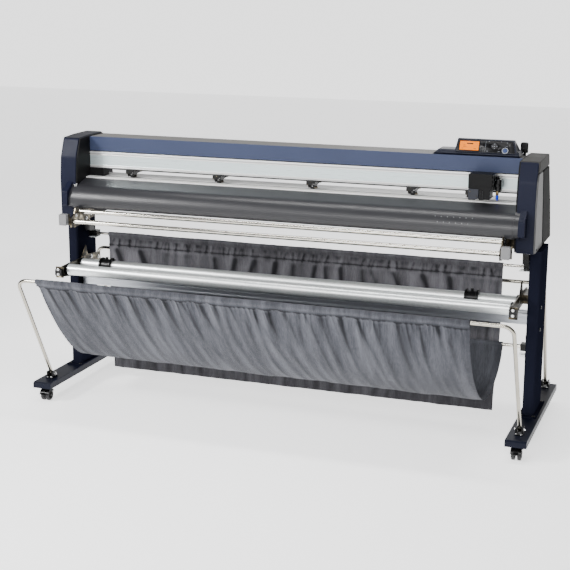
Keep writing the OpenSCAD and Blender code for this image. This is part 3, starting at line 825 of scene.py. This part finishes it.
def console():
    top = 1.192
    slab_outline = [(-0.023, 1.1695), (0.062, 1.1695), (0.058, top), (-0.024, top), (-0.034, 1.178)]
    box_outline = [(-0.0335, 1.1835), (-0.0095, 1.2375), (0.01, 1.2375), (0.056, top - 0.001),
                   (-0.02, top - 0.001)]
    slab_outline = rounded(slab_outline, 0.004)
    box_outline = rounded(box_outline, 0.004)
    piece("console_slab", lambda bm: slanted(bm, slab_outline, 0.608, 0.972, 1.1, 0.25, 1.17), "console",
          width=0.0015, stands_for=("console_housing",), segments=3)
    piece("console_box", lambda bm: slanted(bm, box_outline, 0.702, 0.961, 0.16, 0.32, 1.184), "console",
          width=0.002, segments=3)
    face = [(0.7095, 0.004), (0.9525, 0.004), (0.9385, 0.055), (0.715, 0.055)]
    membrane = panel_plate("console_membrane", face, 0.004, -0.004, 0.0006, "panel", 0.0004,
                           ("console_panel",))
    for (x, v), radius in ((BUTTON, 0.0099), (PAD, 0.0134)):
        cut(membrane, on_panel(lambda bm: turned(bm, [(-0.006, radius), (0.003, radius)], (x, v, 0), "Z")))
    low_x, high_x, low_v, high_v = LCD
    bezel = oblong(low_x - 0.004, high_x + 0.004, low_v - 0.003, high_v + 0.003)
    glass = oblong(low_x, high_x, low_v, high_v)
    panel_plate("display_bezel", bezel, 0.0025, 0.0, 0.0014, "panel", 0.0004)
    panel_plate("display_glass", glass, 0.001, 0.0, 0.0018, "display", 0.0003, ("lcd_screen",))
    piece("display_marks", on_panel(display_marks), "mark", width=0)
    piece("console_keys", on_panel(console_keys), "key", width=0.0004)
    piece("console_marks", on_panel(console_marks), "white_mark", width=0)
    start_button()
    arrow_pad()


def bar(bm, x, v, wide, tall, low, high, radius=0.0006):
    """A small key or mark, centred at x, v on the panel."""
    outline = oblong(x - wide / 2, x + wide / 2, v - tall / 2, v + tall / 2)
    prism(bm, rounded(outline, radius, 3), low, high, "Z")


def display_marks(bm):
    """Plain dark bars in place of what a display shows."""
    for x, v, wide, tall in ((0.764, 0.038, 0.026, 0.005), (0.741, 0.03, 0.01, 0.0016),
                             (0.744, 0.0225, 0.016, 0.0016), (0.733, 0.0165, 0.005, 0.0016),
                             (0.786, 0.0165, 0.012, 0.0016)):
        bar(bm, x, v, wide, tall, 0.0016, 0.002)


def console_keys(bm):
    for v in (0.012, 0.0225, 0.033, 0.0435):
        bar(bm, 0.813, v, 0.0095, 0.0052, 0.0, 0.0013, 0.002)
    for x, v in ((0.838, 0.0085), (0.886, 0.0085), (0.842, 0.0505), (0.866, 0.051), (0.893, 0.0505),
                 (0.916, 0.048), (0.916, 0.033)):
        bar(bm, x, v, 0.012, 0.005, 0.0, 0.0013, 0.002)


def console_marks(bm):
    prism(bm, [(0.8285, 0.007), (0.8291, 0.007), (0.8291, 0.052), (0.8285, 0.052)], 0.0005, 0.0008, "Z")
    for x, v in ((0.838, 0.0085), (0.886, 0.0085)):
        bar(bm, x, v, 0.006, 0.0014, 0.0012, 0.0015)
    for x, v in ((0.842, 0.0505), (0.893, 0.0505), (0.916, 0.048), (0.916, 0.033)):
        bar(bm, x, v, 0.005, 0.0008, 0.0012, 0.0015)


def start_button():
    x, v = BUTTON
    ring = [(0.0, 0.0103), (0.0, 0.0128), (0.0012, 0.0128), (0.0016, 0.0122), (0.0016, 0.0108),
            (0.0012, 0.0103)]
    piece("start_ring", on_panel(lambda bm: lathe(bm, ring, (x, v, 0.0003), "Z")), "white_mark", width=0)
    cap = [(-0.0024, 0.0094), (0.0012, 0.0094), (0.0019, 0.0086), (0.0016, 0.005), (0.0014, 0.001)]
    piece("start_cap", on_panel(lambda bm: turned(bm, cap, (x, v, 0), "Z")), "blue_key", "start_button", 0,
          ("start_button",))


def arrow_pad():
    x, v = PAD
    ring = [(-0.0024, 0.013), (0.001, 0.013), (0.0015, 0.0123), (0.0012, 0.0075), (0.0005, 0.0065),
            (0.0005, 0.0048), (0.0013, 0.0042), (0.0014, 0.0008)]
    piece("arrow_ring", on_panel(lambda bm: turned(bm, ring, (x, v, 0), "Z")), "key", "arrow_pad", 0,
          ("arrow_pad",))

    arrow = ((-0.0022, 0.0088, 0), (0.0022, 0.0088, 0), (0, 0.0114, 0))

    def arrows(bm):
        for quarter in range(4):
            turn = Matrix.Rotation(quarter * math.pi / 2, 3, "Z")
            corners = [turn @ Vector(p) for p in arrow]
            prism(bm, [(x + c.x, v + c.y) for c in corners], 0.0012, 0.0017, "Z")
        turned(bm, [(0.0012, 0.0016), (0.0017, 0.0016)], (x, v, 0), "Z", 16)

    piece("arrow_marks", on_panel(arrows), "white_mark", "arrow_pad", 0)


# --- lever, pinch rollers, carriage

def lever():
    x, y, z = 0.976, 0.08, 1.146
    grip = oblong(x - 0.021, x + 0.011, z + 0.032, z + 0.076)

    def draw_grip(bm):
        prism(bm, rounded(grip, [0.004, 0.004, 0.009, 0.009], 6), y - 0.0065, y + 0.0065, "Y")

    def draw_stalk(bm):
        block(bm, (x - 0.008, y - 0.005, z + 0.004), (x + 0.003, y + 0.005, z + 0.036))
        turned(bm, [(-0.008, 0.0085), (-0.007, 0.01), (0.0105, 0.01), (0.0116, 0.0085)], (x, y, z))
        turned(bm, [(0.011, 0.005), (0.024, 0.005)], (x, y, z))

    def draw_line(bm):
        prism(bm, oblong(x - 0.013, x + 0.003, z + 0.0505, z + 0.0515), y - 0.0069, y - 0.006, "Y")

    piece("lever_grip", draw_grip, "black", "media_lever", 0.004, ("media_lever",), 4)
    piece("lever_stalk", draw_stalk, "steel", "media_lever", 0.0008)
    piece("lever_line", draw_line, "key", "media_lever", 0)


PINCH_X = (-0.779, -0.353, 0.085, 0.529, 0.78)
PINCH_AXIS = (0.022, 1.017)


def pinch_arms():
    side = [(0.028, 1.012), (0.027, 1.023), (0.012, 1.024), (-0.02, 1.0195), (-0.0425, 1.0195),
            (-0.0425, 1.03), (-0.05, 1.03), (-0.0505, 1.008), (-0.04, 0.996), (-0.024, 0.9965),
            (-0.014, 1.007), (0.018, 1.011)]
    for i, x in enumerate(PINCH_X, 1):
        body = f"pinch_arm_{i}"

        def cheeks(bm, x=x):
            for offset in (-0.0155, 0.0115):
                prism(bm, rounded(side, 0.0015, 2), x + offset, x + offset + 0.004)
            hook = [(x - 0.024, 1.014), (x - 0.02, 1.0085), (x - 0.004, 1.0085), (x + 0.006, 1.012),
                    (x + 0.026, 1.0295), (x - 0.023, 1.0295)]
            prism(bm, rounded(hook, 0.0025, 3), -0.05, -0.0455, "Y")

        def steel_bits(bm, x=x):
            pin = [(-0.021, 0.0025), (-0.02, 0.0032), (0.02, 0.0032), (0.021, 0.0025)]
            turned(bm, pin, (x, -0.03, 1.001), "X", 16)
            lathe(bm, [(-0.0215, 0.0031), (-0.0215, 0.006), (0.0215, 0.006), (0.0215, 0.0031)],
                  (x, *PINCH_AXIS), "X", 24)
            for dx, z in ((-0.016, 1.012), (-0.004, 1.023)):
                turned(bm, [(0, 0.0024), (-0.001, 0.0024), (-0.0014, 0.0018), (-0.0014, 0.0006)],
                       (x + dx, -0.0498, z), "Y", 14)
            block(bm, (x + 0.014, -0.0502, 0.9985), (x + 0.027, -0.04, 1.001))

        def spring(bm, x=x):
            turns = 6
            path = []
            for k in range(turns * 10 + 1):
                angle = TAU * k / 10
                rise = 0.0155 * k / (turns * 10)
                y = -0.0385 - rise * 0.1 + 0.0042 * math.sin(angle) * 0.6
                path.append((x + 0.0042 * math.cos(angle), y, 1.003 + rise))
            swept(bm, path, 0.0006, 6)

        wheel = [(-0.009, 0.006), (-0.0086, 0.0084), (-0.0076, 0.009), (0.0076, 0.009), (0.0086, 0.0084),
                 (0.009, 0.006)]
        hub = [(-0.011, 0.0036), (-0.0105, 0.0045), (0.0105, 0.0045), (0.011, 0.0036)]
        piece(f"pinch_cheeks_{i}", cheeks, "steel", body, 0.0006, (f"pinch_arm_{i}",))
        piece(f"pinch_fittings_{i}", steel_bits, "bronze", body, 0.0002)
        piece(f"pinch_spring_{i}", spring, "silver", body, 0)
        wheel_body = f"pinch_wheel_{i}"
        piece(f"pinch_tyre_{i}", lambda bm, x=x: turned(bm, wheel, (x, -0.03, 1.001)), "tyre", wheel_body, 0,
              (wheel_body,))
        piece(f"pinch_hub_{i}", lambda bm, x=x: turned(bm, hub, (x, -0.03, 1.001)), "bronze", wheel_body, 0)


CARRIAGE_X = 0.835
CARRIAGE_FRONT = -0.124


def carriage():
    x0, x1 = CARRIAGE_X - 0.052, CARRIAGE_X + 0.052
    front, back = CARRIAGE_FRONT, -0.042
    step, top = 1.048, 1.11

    def hood(bm):
        outline = [(x0, step), (x0 + 0.044, step), (x0 + 0.044, 1.0065), (x0 + 0.09, 1.0065),
                   (x0 + 0.09, 1.046), (x0 + 0.098, 1.05), (x0 + 0.098, top), (x0, top)]
        radii = [0.004, 0.002, 0.004, 0.004, 0.003, 0.003, 0.006, 0.006]
        prism(bm, rounded(outline, radii), front, back - 0.01, "Y")

    rear = [((x0 + 0.002, back - 0.012, step + 0.001), (x1 - 0.003, back, 1.106)),
            ((x0 + 0.006, -0.05, 1.1028), (x1 - 0.006, -0.035, 1.105))]
    ribs = [((x0 + 0.094, front + 0.004, z), (x1, front + 0.02, z + 0.008))
            for z in (1.052, 1.068, 1.084, 1.099)]
    mount = [((x0 + 0.09, front + 0.012, step - 0.004), (x1 - 0.001, back - 0.008, 1.108)), *ribs]

    def guard(bm):
        outline = [(x0 + 0.002, 1.003), (x0 + 0.03, 1.003), (x0 + 0.044, 1.012), (x0 + 0.045, 1.048),
                   (x0 + 0.002, 1.0485)]
        prism(bm, rounded(outline, 0.003), front - 0.004, front + 0.006, "Y")

    roller_walls = [((x0 + dx, front - 0.003, 1.008), (x0 + dx + 0.005, front + 0.002, 1.043))
                    for dx in (0.049, 0.058)]
    roller_base = ((x0 + 0.046, front - 0.001, 1.0035), (x0 + 0.066, front + 0.026, 1.008))

    def screws(bm):
        for dx, z in ((0.01, 1.038), (0.037, 1.02)):
            head = [(0, 0.0026), (-0.0012, 0.0026), (-0.0018, 0.002), (-0.0009, 0.0014), (-0.0009, 0.0004)]
            turned(bm, head, (x0 + dx, front - 0.0038, z), "Y", 16)

    seams = [((x0 + 0.004, front - 0.0004, 1.0585), (x0 + 0.094, front + 0.001, 1.0591)),
             ((x0 + 0.05, front - 0.0004, 1.01), (x0 + 0.0506, front + 0.001, 1.058))]
    piece("carriage_hood", hood, "carriage", "carriage", 0.003, ("carriage",), 4)
    boxes("carriage_rear", rear, "carriage", "carriage", 0.001)
    boxes("carriage_mount", mount, "black", "carriage", 0.0012)
    piece("carriage_guard", guard, "slate", "carriage", 0.0012)
    boxes("carriage_roller_box", [roller_base, *roller_walls], "black", "carriage", 0.0008)
    piece("carriage_screws", screws, "bronze", "carriage", 0)
    boxes("carriage_seams", seams, "frame_black", "carriage", 0)


def tool_holder():
    x = CARRIAGE_X + 0.0665
    y = -0.093
    tip_x = CARRIAGE_X + 0.059
    tip_y = -0.073

    def body(bm):
        barrel = [(1.04, 0.0058), (1.04, 0.01), (1.043, 0.012), (1.084, 0.012), (1.088, 0.0105),
                  (1.088, 0.0058)]
        lathe(bm, barrel, (x, y, 0), "Z", 32)
        block(bm, (x - 0.0125, y + 0.006, 1.043), (x + 0.0115, -0.058, 1.086))

    def knob(bm):
        profile = []
        for k in range(7):
            profile += [(1.086 + 0.0016 * k, 0.0074), (1.0868 + 0.0016 * k, 0.0068)]
        turned(bm, [(1.084, 0.006), *profile, (1.0985, 0.005)], (tip_x, tip_y, 0), "Z", 24)

    def clamp(bm):
        screw = [(-0.01, 0.003), (-0.0105, 0.0062), (-0.019, 0.0062), (-0.02, 0.0052)]
        turned(bm, screw, (x, y - 0.001, 1.064), "Y", 20)

    def blade(bm):
        shank = [(1.018, 0.004), (1.02, 0.0062), (1.034, 0.0066), (1.044, 0.0066)]
        turned(bm, shank, (tip_x, tip_y, 0), "Z", 24)

    def tip(bm):
        turned(bm, [(0.9972, 0.0012), (0.9985, 0.004), (1.006, 0.0058), (1.0175, 0.006), (1.0185, 0.005)],
               (tip_x, tip_y, 0), "Z", 24)

    piece("tool_barrel", body, "black", "tool_holder", 0.0008, ("tool_holder",))
    piece("tool_knob", knob, "black", "tool_holder", 0)
    piece("tool_clamp", clamp, "black", "tool_holder", 0.0004)
    piece("tool_blade", blade, "brass", "tool_holder", 0)
    piece("tool_tip", tip, "blue_tip", "tool_holder", 0)


# --- rings, brackets, clamps, casters

TUBE_Z = 0.59
FRONT_TUBE_Y = -0.242
REAR_TUBE_Y = -0.114
RING_X = {"ring_left": -0.875, "ring_right": 0.816}
COLUMN_OUT = 1.09
FOOT_X = 1.071
FOOT_TOP = 0.094


def rings():
    bore = 0.02505
    for name, x in RING_X.items():
        def hub(bm, x=x):
            sleeve = [(-0.024, bore), (-0.024, 0.0305), (-0.02, 0.0315), (0.02, 0.0315), (0.024, 0.0305),
                      (0.024, bore)]
            lathe(bm, sleeve, (x, REAR_TUBE_Y, TUBE_Z), "X", 48)
            turned(bm, [(0.03, 0.006), (0.039, 0.007), (0.041, 0.006)], (x, REAR_TUBE_Y, TUBE_Z), "Z", 20)

        def discs(bm, x=x):
            for side in (-1, 1):
                rim = [(side * 0.019, bore + 0.001), (side * 0.019, 0.035), (side * 0.0205, 0.0378),
                       (side * 0.0265, 0.038), (side * 0.0288, 0.0355), (side * 0.0292, bore + 0.001)]
                lathe(bm, rim, (x, REAR_TUBE_Y, TUBE_Z), "X", 48)

        piece(name + "_hub", hub, "steel", name, 0.0008, (name,))
        piece(name + "_discs", discs, "black", name, 0.0008)


def bolt(bm, place, axis, out, radius=0.006, high=0.004):
    """A hexagon bolt head on a washer. out is +1 or -1 along the axis."""
    turned(bm, [(0, radius * 1.5), (out * 0.0012, radius * 1.5)], place, axis, 20)
    head = [(out * 0.001, radius), (out * high, radius), (out * (high + 0.0006), radius * 0.85)]
    turned(bm, head, place, axis, 6)


def bracket_fittings():
    """Flange discs, bolts, stops and small lever plates round the roll and guide bar brackets."""
    tube_flange = [(1.0015, 0.02), (1.0025, 0.03), (1.0065, 0.03), (1.0075, 0.022)]
    bar_flange = [(0.9602, 0.012), (0.9612, 0.0165), (0.9655, 0.0165), (0.9665, 0.01)]
    tube_stop = [(-0.31, 0.574), (-0.31, 0.598), (-0.299, 0.606), (-0.299, 0.57)]
    rod_lever = [(0.014, 0.724), (0.014, 0.738), (-0.032, 0.788), (-0.04, 0.784), (-0.034, 0.73)]

    def black_parts(bm):
        for side in (-1, 1):
            for y in (FRONT_TUBE_Y, REAR_TUBE_Y):
                turned(bm, [(side * along, radius) for along, radius in tube_flange], (0, y, TUBE_Z))
            for y, z in ((-0.227, 0.858), (-0.276, 0.82)):
                turned(bm, [(side * along, radius) for along, radius in bar_flange], (0, y, z), "X", 32)
            prism(bm, rounded(tube_stop, 0.003), *across(side, 1.004, 1.036))
            prism(bm, rounded(rod_lever, 0.004), *across(side, 1.004, 1.03))

    def bolts(bm):
        for side in (-1, 1):
            for y, z in ((0.05, 0.59), (0.016, 0.575), (-0.02, 0.605), (-0.186, 0.592)):
                bolt(bm, (side * 1.008, y, z), "X", -side)
            for y, z in ((-0.11, 0.828), (-0.155, 0.815), (-0.25, 0.842)):
                bolt(bm, (side * 0.953, y, z), "X", -side, 0.005)
            for z in (0.58, 0.602):
                bolt(bm, (side * 1.02, -0.31, z), "Y", -1, 0.004)

    def plates(bm):
        for side in (-1, 1):
            prism(bm, rounded(oblong(-0.005, 0.04, 0.6935, 0.696), 0.0006), *across(side, 0.987, 1.026))
            prism(bm, rounded(oblong(0.004, 0.036, 0.32, 0.333), 0.002), *across(side, 1.001, 1.027))

    piece("bracket_flanges", black_parts, "black", width=0.0008)
    piece("bracket_bolts", bolts, "silver", width=0.0002)
    piece("rod_plates", plates, "zinc", width=0.0006)


def pole_fittings():
    """Shiny collars and bolt heads of the clamps that the basket's poles turn in."""
    def collars(bm):
        for side in (-1, 1):
            for y in (-0.312, 0.345):
                for offset in (-0.0172, 0.0172):
                    sign = 1 if offset > 0 else -1
                    bolt(bm, (side * FOOT_X + offset - sign * 0.0006, y, 0.112), "X", sign, 0.0055, 0.0055)
                for dy in (-0.021, 0.021):
                    bolt(bm, (side * FOOT_X - 0.01, y + dy, FOOT_TOP + 0.004), "Z", 1, 0.0035, 0.003)
                    bolt(bm, (side * FOOT_X + 0.01, y + dy, FOOT_TOP + 0.004), "Z", 1, 0.0035, 0.003)

    piece("clamp_bolts", collars, "silver", width=0.0002)


def column_screws():
    """Socket-head screws of the columns, their base plates and the covers."""
    def head(bm, place, axis, out, radius, high):
        profile = [(0, 1), (0.75, 1), (1, 0.86), (1, 0.5), (0.35, 0.45), (0.35, 0.1)]
        turned(bm, [(out * high * rise, radius * share) for rise, share in profile], place, axis, 24)

    def draw(bm):
        for side in (-1, 1):
            for y in (-0.045, 0.055):
                for z in (0.463, 0.558):
                    head(bm, (side * COLUMN_OUT, y, z), "X", side, 0.007, 0.004)
            for dx in (-0.026, 0.026):
                for y in (-0.102, 0.112):
                    head(bm, (side * 1.065 + dx, y, FOOT_TOP + 0.005), "Z", 1, 0.007, 0.004)
            for y in (-0.12, 0.016):
                head(bm, (side * 1.072, y, 0.814), "X", side, 0.005, 0.0025)

    piece("stand_screws", draw, "steel", width=0, stands_for=("screws",))


def turned_pair(bm, profile, centre, count):
    """Turns a profile along X, and its mirror image, on both sides of centre."""
    for side in (-1, 1):
        turned(bm, [(side * along, radius) for along, radius in profile], centre, "X", count)


def casters():
    """Twin-wheel casters: hooded fork with a brake pedal, and two tyred wheels."""
    radius = 0.025
    trail = 0.018
    for end, sy in (("front", -1), ("rear", 1)):
        for name, sx in (("left", -1), ("right", 1)):
            x, y = sx * FOOT_X, sy * 0.343
            axle_y = y + sy * trail

            def fork(bm, x=x, y=y, sy=sy, axle_y=axle_y):
                swivel = [(0.056, 0.016), (0.0565, 0.0195), (0.064, 0.02), (0.0656, 0.018)]
                turned(bm, swivel, (x, y, 0), "Z", 32)
                low_y, high_y = sorted((axle_y, y))
                block(bm, (x - 0.0038, low_y - 0.01, 0.02), (x + 0.0038, high_y + 0.01, 0.057))
                shell = arc((0, 0), 0.03, 28, 168, 16) + arc((0, 0), 0.0268, 168, 28, 16)
                outline = [(axle_y - sy * p[0], radius + p[1]) for p in shell]
                prism(bm, outline, x - 0.0225, x + 0.0225)
                corners = [(0.026, 0.036), (0.036, 0.03), (0.037, 0.033), (0.027, 0.041)]
                pedal = [(axle_y + sy * reach, z) for reach, z in corners]
                prism(bm, rounded(pedal, 0.001, 2), x - 0.01, x + 0.01)

            def tyres(bm, x=x, axle_y=axle_y):
                profile = [(0.0052, 0.0215), (0.006, 0.0238), (0.0075, 0.025), (0.017, 0.025),
                           (0.019, 0.0236), (0.0198, 0.0205)]
                turned_pair(bm, profile, (x, axle_y, radius), 48)

            def hubs(bm, x=x, axle_y=axle_y):
                profile = [(0.019, 0.0195), (0.0204, 0.019), (0.0198, 0.015), (0.0198, 0.007),
                           (0.0208, 0.006), (0.0208, 0.001)]
                turned_pair(bm, profile, (x, axle_y, radius), 40)

            piece(f"caster_hood_{end}_{name}", fork, "black", f"caster_{end}_{name}", 0.0008,
                  (f"caster_fork_{end}_{name}",))
            piece(f"caster_tyres_{end}_{name}", tyres, "tyre", f"wheels_{end}_{name}", 0,
                  (f"caster_wheels_{end}_{name}",))
            piece(f"caster_hubs_{end}_{name}", hubs, "black", f"wheels_{end}_{name}", 0)


# --- cloths

HANG_R = 0.006
MID_R = 0.008
BAR = (-0.57185, 0.60694)
POLE_R = 0.008
HANG_ROD = (0.045, 0.705)
MID_ROD = (0.02, 0.365)
THREAD = 0.0011


def cubic(start, first, second, end, count):
    """Points of a cubic curve, without its first one."""
    points = []
    for i in range(1, count + 1):
        t = i / count
        weights = ((1 - t) ** 3, 3 * t * (1 - t) ** 2, 3 * t * t * (1 - t), t ** 3)
        pairs = list(zip(weights, (start, first, second, end)))
        points.append(tuple(sum(w * p[k] for w, p in pairs) for k in (0, 1)))
    return points


def resample(path, count):
    """Points at an even spacing along a polyline."""
    points = [Vector(p) for p in path]
    lengths = [0.0]
    for a, b in zip(points, points[1:]):
        lengths.append(lengths[-1] + (b - a).length)
    result = []
    k = 0
    for i in range(count):
        target = lengths[-1] * i / (count - 1)
        while k < len(points) - 2 and lengths[k + 1] < target:
            k += 1
        share = (target - lengths[k]) / max(1e-9, lengths[k + 1] - lengths[k])
        result.append(points[k].lerp(points[k + 1], min(1.0, share)))
    return result


def sheet_grid(name, limits, left, right, columns, material):
    """A grid that runs from one (y, z) profile to another. limits(j) gives the two ends of row j."""
    bm = bmesh.new()
    grid = []
    for j, (near, far) in enumerate(zip(left, right)):
        low, high = limits(j)
        ahead = left[min(j + 1, len(left) - 1)] - left[max(j - 1, 0)]
        normal = Vector((-ahead.y, ahead.x)).normalized()
        line = []
        for i in range(columns):
            x = low + (high - low) * i / (columns - 1)
            soft = 0.004 * noise.noise(Vector((x * 7, j * 0.09, 7.0))) * min(1.0, j / 12)
            point = near.lerp(far, smooth(0, columns - 1, i)) + normal * soft
            line.append(bm.verts.new((x, point.x, point.y)))
        grid.append(line)
    skin(bm, grid, closed=False)
    return mesh_object(name, bm, material)


def simulate(obj, held, frames, gravity):
    """Lets the cloth hang from its held vertices for a few frames, and keeps the result."""
    pin = obj.vertex_groups.new(name="pin")
    pin.add([v.index for v in obj.data.vertices if held(v.index)], 1.0, "REPLACE")
    cloth = obj.modifiers.new("cloth", "CLOTH")
    settings = cloth.settings
    settings.quality = 5
    settings.mass = 0.2
    settings.tension_stiffness = 30
    settings.compression_stiffness = 30
    settings.shear_stiffness = 12
    settings.bending_stiffness = 0.2
    settings.air_damping = 4
    settings.vertex_group_mass = "pin"
    settings.effector_weights.gravity = gravity
    cloth.collision_settings.use_collision = False
    cloth.point_cache.frame_start = 1
    cloth.point_cache.frame_end = frames
    scene = bpy.context.scene
    for frame_number in range(1, frames + 1):
        scene.frame_set(frame_number)
    keep_result(obj)
    obj.vertex_groups.clear()
    scene.frame_set(1)


def finer(grid, factor, axis):
    """Adds rows between the rows of a grid of points, and evens the result out."""
    count = grid.shape[axis]
    places = np.linspace(0, count - 1, (count - 1) * factor + 1)
    low = np.minimum(places.astype(int), count - 2)
    share = places - low
    shape = [1, 1, 1]
    shape[axis] = len(places)
    share = share.reshape(shape)
    grid = np.take(grid, low, axis) * (1 - share) + np.take(grid, low + 1, axis) * share
    inner = np.moveaxis(grid, axis, 0)
    for _ in range(factor):
        inner[1:-1] = 0.25 * inner[:-2] + 0.5 * inner[1:-1] + 0.25 * inner[2:]
    return np.moveaxis(inner, 0, axis)


def blurred(values, reach, axis):
    """A moving average over a grid of values."""
    pads = [(0, 0), (0, 0)]
    pads[axis] = (reach, reach)
    padded = np.pad(values, pads, mode="edge")
    shifts = [np.take(padded, range(k, k + values.shape[axis]), axis) for k in range(2 * reach + 1)]
    return sum(shifts) / len(shifts)


def pucker(obj, rows, columns, seam, relief, shade):
    """Rebuilds the hung grid with finer steps, and adds the small gathers given by relief(x, down, edge).
    Every vertex keeps how far it lies in a crease, times shade(down): painted shade that darkens the cloth's
    colour in the valleys of the folds and by height."""
    points = np.array([v.co for v in obj.data.vertices]).reshape(rows, columns, 3)
    points = finer(finer(points, 3, 1), 2, 0)
    rows, columns = points.shape[:2]
    normal = np.cross(np.gradient(points, axis=1), np.gradient(points, axis=0))
    normal /= np.maximum(1e-9, np.linalg.norm(normal, axis=2, keepdims=True))
    steps = np.linalg.norm(np.diff(points[:, columns // 2], axis=0), axis=1)
    down = np.concatenate(([0.0], np.cumsum(steps)))
    down -= down[seam * 2]
    heights = np.zeros((rows, columns))
    for j in range(rows):
        for i in range(columns):
            x = points[j, i, 0]
            edge = min(x - points[j, 0, 0], points[j, -1, 0] - x)
            heights[j, i] = relief(x, down[j], edge)
    points += normal * heights[:, :, None]
    # Painted shade: crease is low where the cloth lies below its neighbours, and shade(down) darkens it
    # further by height.
    proud = heights - blurred(blurred(heights, 7, 1), 2, 0)
    crease = np.clip(0.6 + proud / 0.0045, 0, 1) * np.array([shade(d) for d in down])[:, None]
    bm = bmesh.new()
    grid = [[bm.verts.new(point) for point in line] for line in points]
    skin(bm, grid, closed=False)
    bm.to_mesh(obj.data)
    bm.free()
    kept = obj.data.attributes.new("crease", "FLOAT", "POINT")
    kept.data.foreach_set("value", crease.ravel())
    solid = obj.modifiers.new("thick", "SOLIDIFY")
    solid.thickness = THREAD
    solid.offset = 0
    keep_result(obj)
    obj.data.shade_smooth()


def fold(x, down, scale, stretch, layer):
    """Pinched folds: -0.6 in the sharp valleys, about 0.6 on the rounded parts between them."""
    return abs(noise.noise(Vector((x * scale, down * stretch, layer)))) * 3 - 0.6


def cloth_piece(node, flat):
    """Hides the CAD node that a finished cloth stands for."""
    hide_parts(node)


def path_length(points):
    return sum((b - a).length for a, b in zip(points, points[1:]))


def basket_cloth():
    """Sheet sewn round the front pole's bar, hanging in a wide curve to the rod behind."""
    radius = POLE_R + 0.0028
    seam = (BAR[0] + 0.0015, BAR[1] - 0.02)
    sleeve = [Vector(p) for p in [(seam[0] + 0.0022, seam[1])] + arc(BAR, radius, -20, 205, 12)]
    rear_end = (MID_ROD[0] - 0.004, MID_ROD[1] - 0.024)
    round_rod = arc(MID_ROD, MID_R + 0.0028, 215, -40, 12)
    loop = [Vector(p) for p in [*round_rod, (rear_end[0] + 0.0022, rear_end[1])]]
    main_rows = 84

    def profile(first, second, bottom):
        front = cubic(seam, first, second, bottom, 30)
        rear = cubic(bottom, (bottom[0] + 0.1, bottom[1] + 0.002), (-0.005, 0.22), rear_end, 16)
        return sleeve + resample([seam, *front, *rear], main_rows) + loop

    left = profile((-0.397, 0.31), (-0.251, 0.172), (-0.13, 0.172))
    right = profile((-0.585, 0.44), (-0.33, 0.176), (-0.15, 0.183))
    rows, columns = len(left), 163
    first = len(sleeve)
    last = first + main_rows - 1

    def limits(j):
        back = smooth(0.72, 1.0, (j - first) / (last - first))
        return (-0.967 if j >= first else -0.98), 0.905 + 0.023 * back

    def relief(x, down, edge):
        if down < 0:
            return 0.0014 * noise.noise(Vector((x * 70, down * 30, 1.0)))
        below = max(0.0, down)
        near = smooth(0.0, 0.012, below)
        tight = fold(x - 0.12 * below, below, 46, 5, 0.0) * 0.0042 * math.exp(-below / 0.055)
        wide = fold(x - 0.15 * below, below, 13, 2.0, 4.0) * 0.005 * math.exp(-below / 0.22)
        crease = noise.noise(Vector(((x - 0.1 * below) * 34, below * 3, 9.0))) * 0.0024
        hem = 0.002 * noise.noise(Vector((2.0, below * 75, 2.0))) * math.exp(-edge / 0.01)
        groove = -0.0045 * math.exp(-((below - 0.004) / 0.005) ** 2)
        return (tight + wide + crease) * near * smooth(-0.01, 0.03, edge) + hem + groove

    obj = sheet_grid("basket_sheet", limits, left, right, columns, "basket_fabric")
    simulate(obj, lambda v: not first < v // columns < last, 14, 0.02)
    pucker(obj, rows, columns, first, relief, lambda down: 1.0)
    cloth_piece("basket_cloth", (1.872, (path_length(left) + path_length(right)) / 2))
    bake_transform(obj)


def back_cloth():
    """Curtain behind the basket, gathered on its rod and hanging nearly to the floor."""
    radius = HANG_R + 0.003
    seam = (HANG_ROD[0] + 0.0012, HANG_ROD[1] - 0.016)
    sleeve = [Vector(p) for p in [(seam[0] + 0.0022, seam[1])] + arc(HANG_ROD, radius, -25, 205, 10)]
    path = sleeve + resample([seam, (HANG_ROD[0] + 0.002, 0.056)], 54)
    rows, columns = len(path), 155
    first = len(sleeve)

    def limits(j):
        low_part = smooth(0.35, 1.0, (j - first) / (rows - 1 - first))
        return -0.946 + 0.01 * low_part, 0.911 - 0.02 * low_part

    def relief(x, down, edge):
        if down < 0:
            return 0.001 * noise.noise(Vector((x * 80, down * 30, 1.0)))
        near = smooth(0.0, 0.008, down)
        header = fold(x + 0.2 * down, down, 36, 9, 0.0) * 0.0036 * (1 - smooth(0.03, 0.06, down))
        seam_crease = -0.005 * math.exp(-((down - 0.036) / 0.005) ** 2)
        lean = x + 0.03 * math.sin(down * 9 + x * 5)
        body = fold(lean, down, 9, 1.2, 5.0) * 0.012 * smooth(0.03, 0.07, down)
        body *= 0.3 + 0.7 * math.exp(-down / 0.22)
        small = noise.noise(Vector((x * 34, down * 7, 9.0))) * 0.0022
        return (header + body + small) * near * smooth(-0.01, 0.03, edge) + seam_crease

    obj = sheet_grid("back_sheet", limits, path, path, columns, "back_fabric")
    simulate(obj, lambda v: v // columns <= first, 14, 0.02)
    # Painted shadow: shade(down) darkens the cloth to 35 % between 0.4 m and 0.6 m below its seam, where it
    # hangs below the basket.
    pucker(obj, rows, columns, first, relief, lambda down: 1.0 - 0.65 * smooth(0.4, 0.6, down))
    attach(obj, MACHINE)
    cloth_piece("back_cloth", (1.857, path_length(path)))


studio()
stand()
side_covers()
cover_studs()
console()
lever()
pinch_arms()
carriage()
tool_holder()
rings()
bracket_fittings()
pole_fittings()
column_screws()
casters()
basket_cloth()
back_cloth()
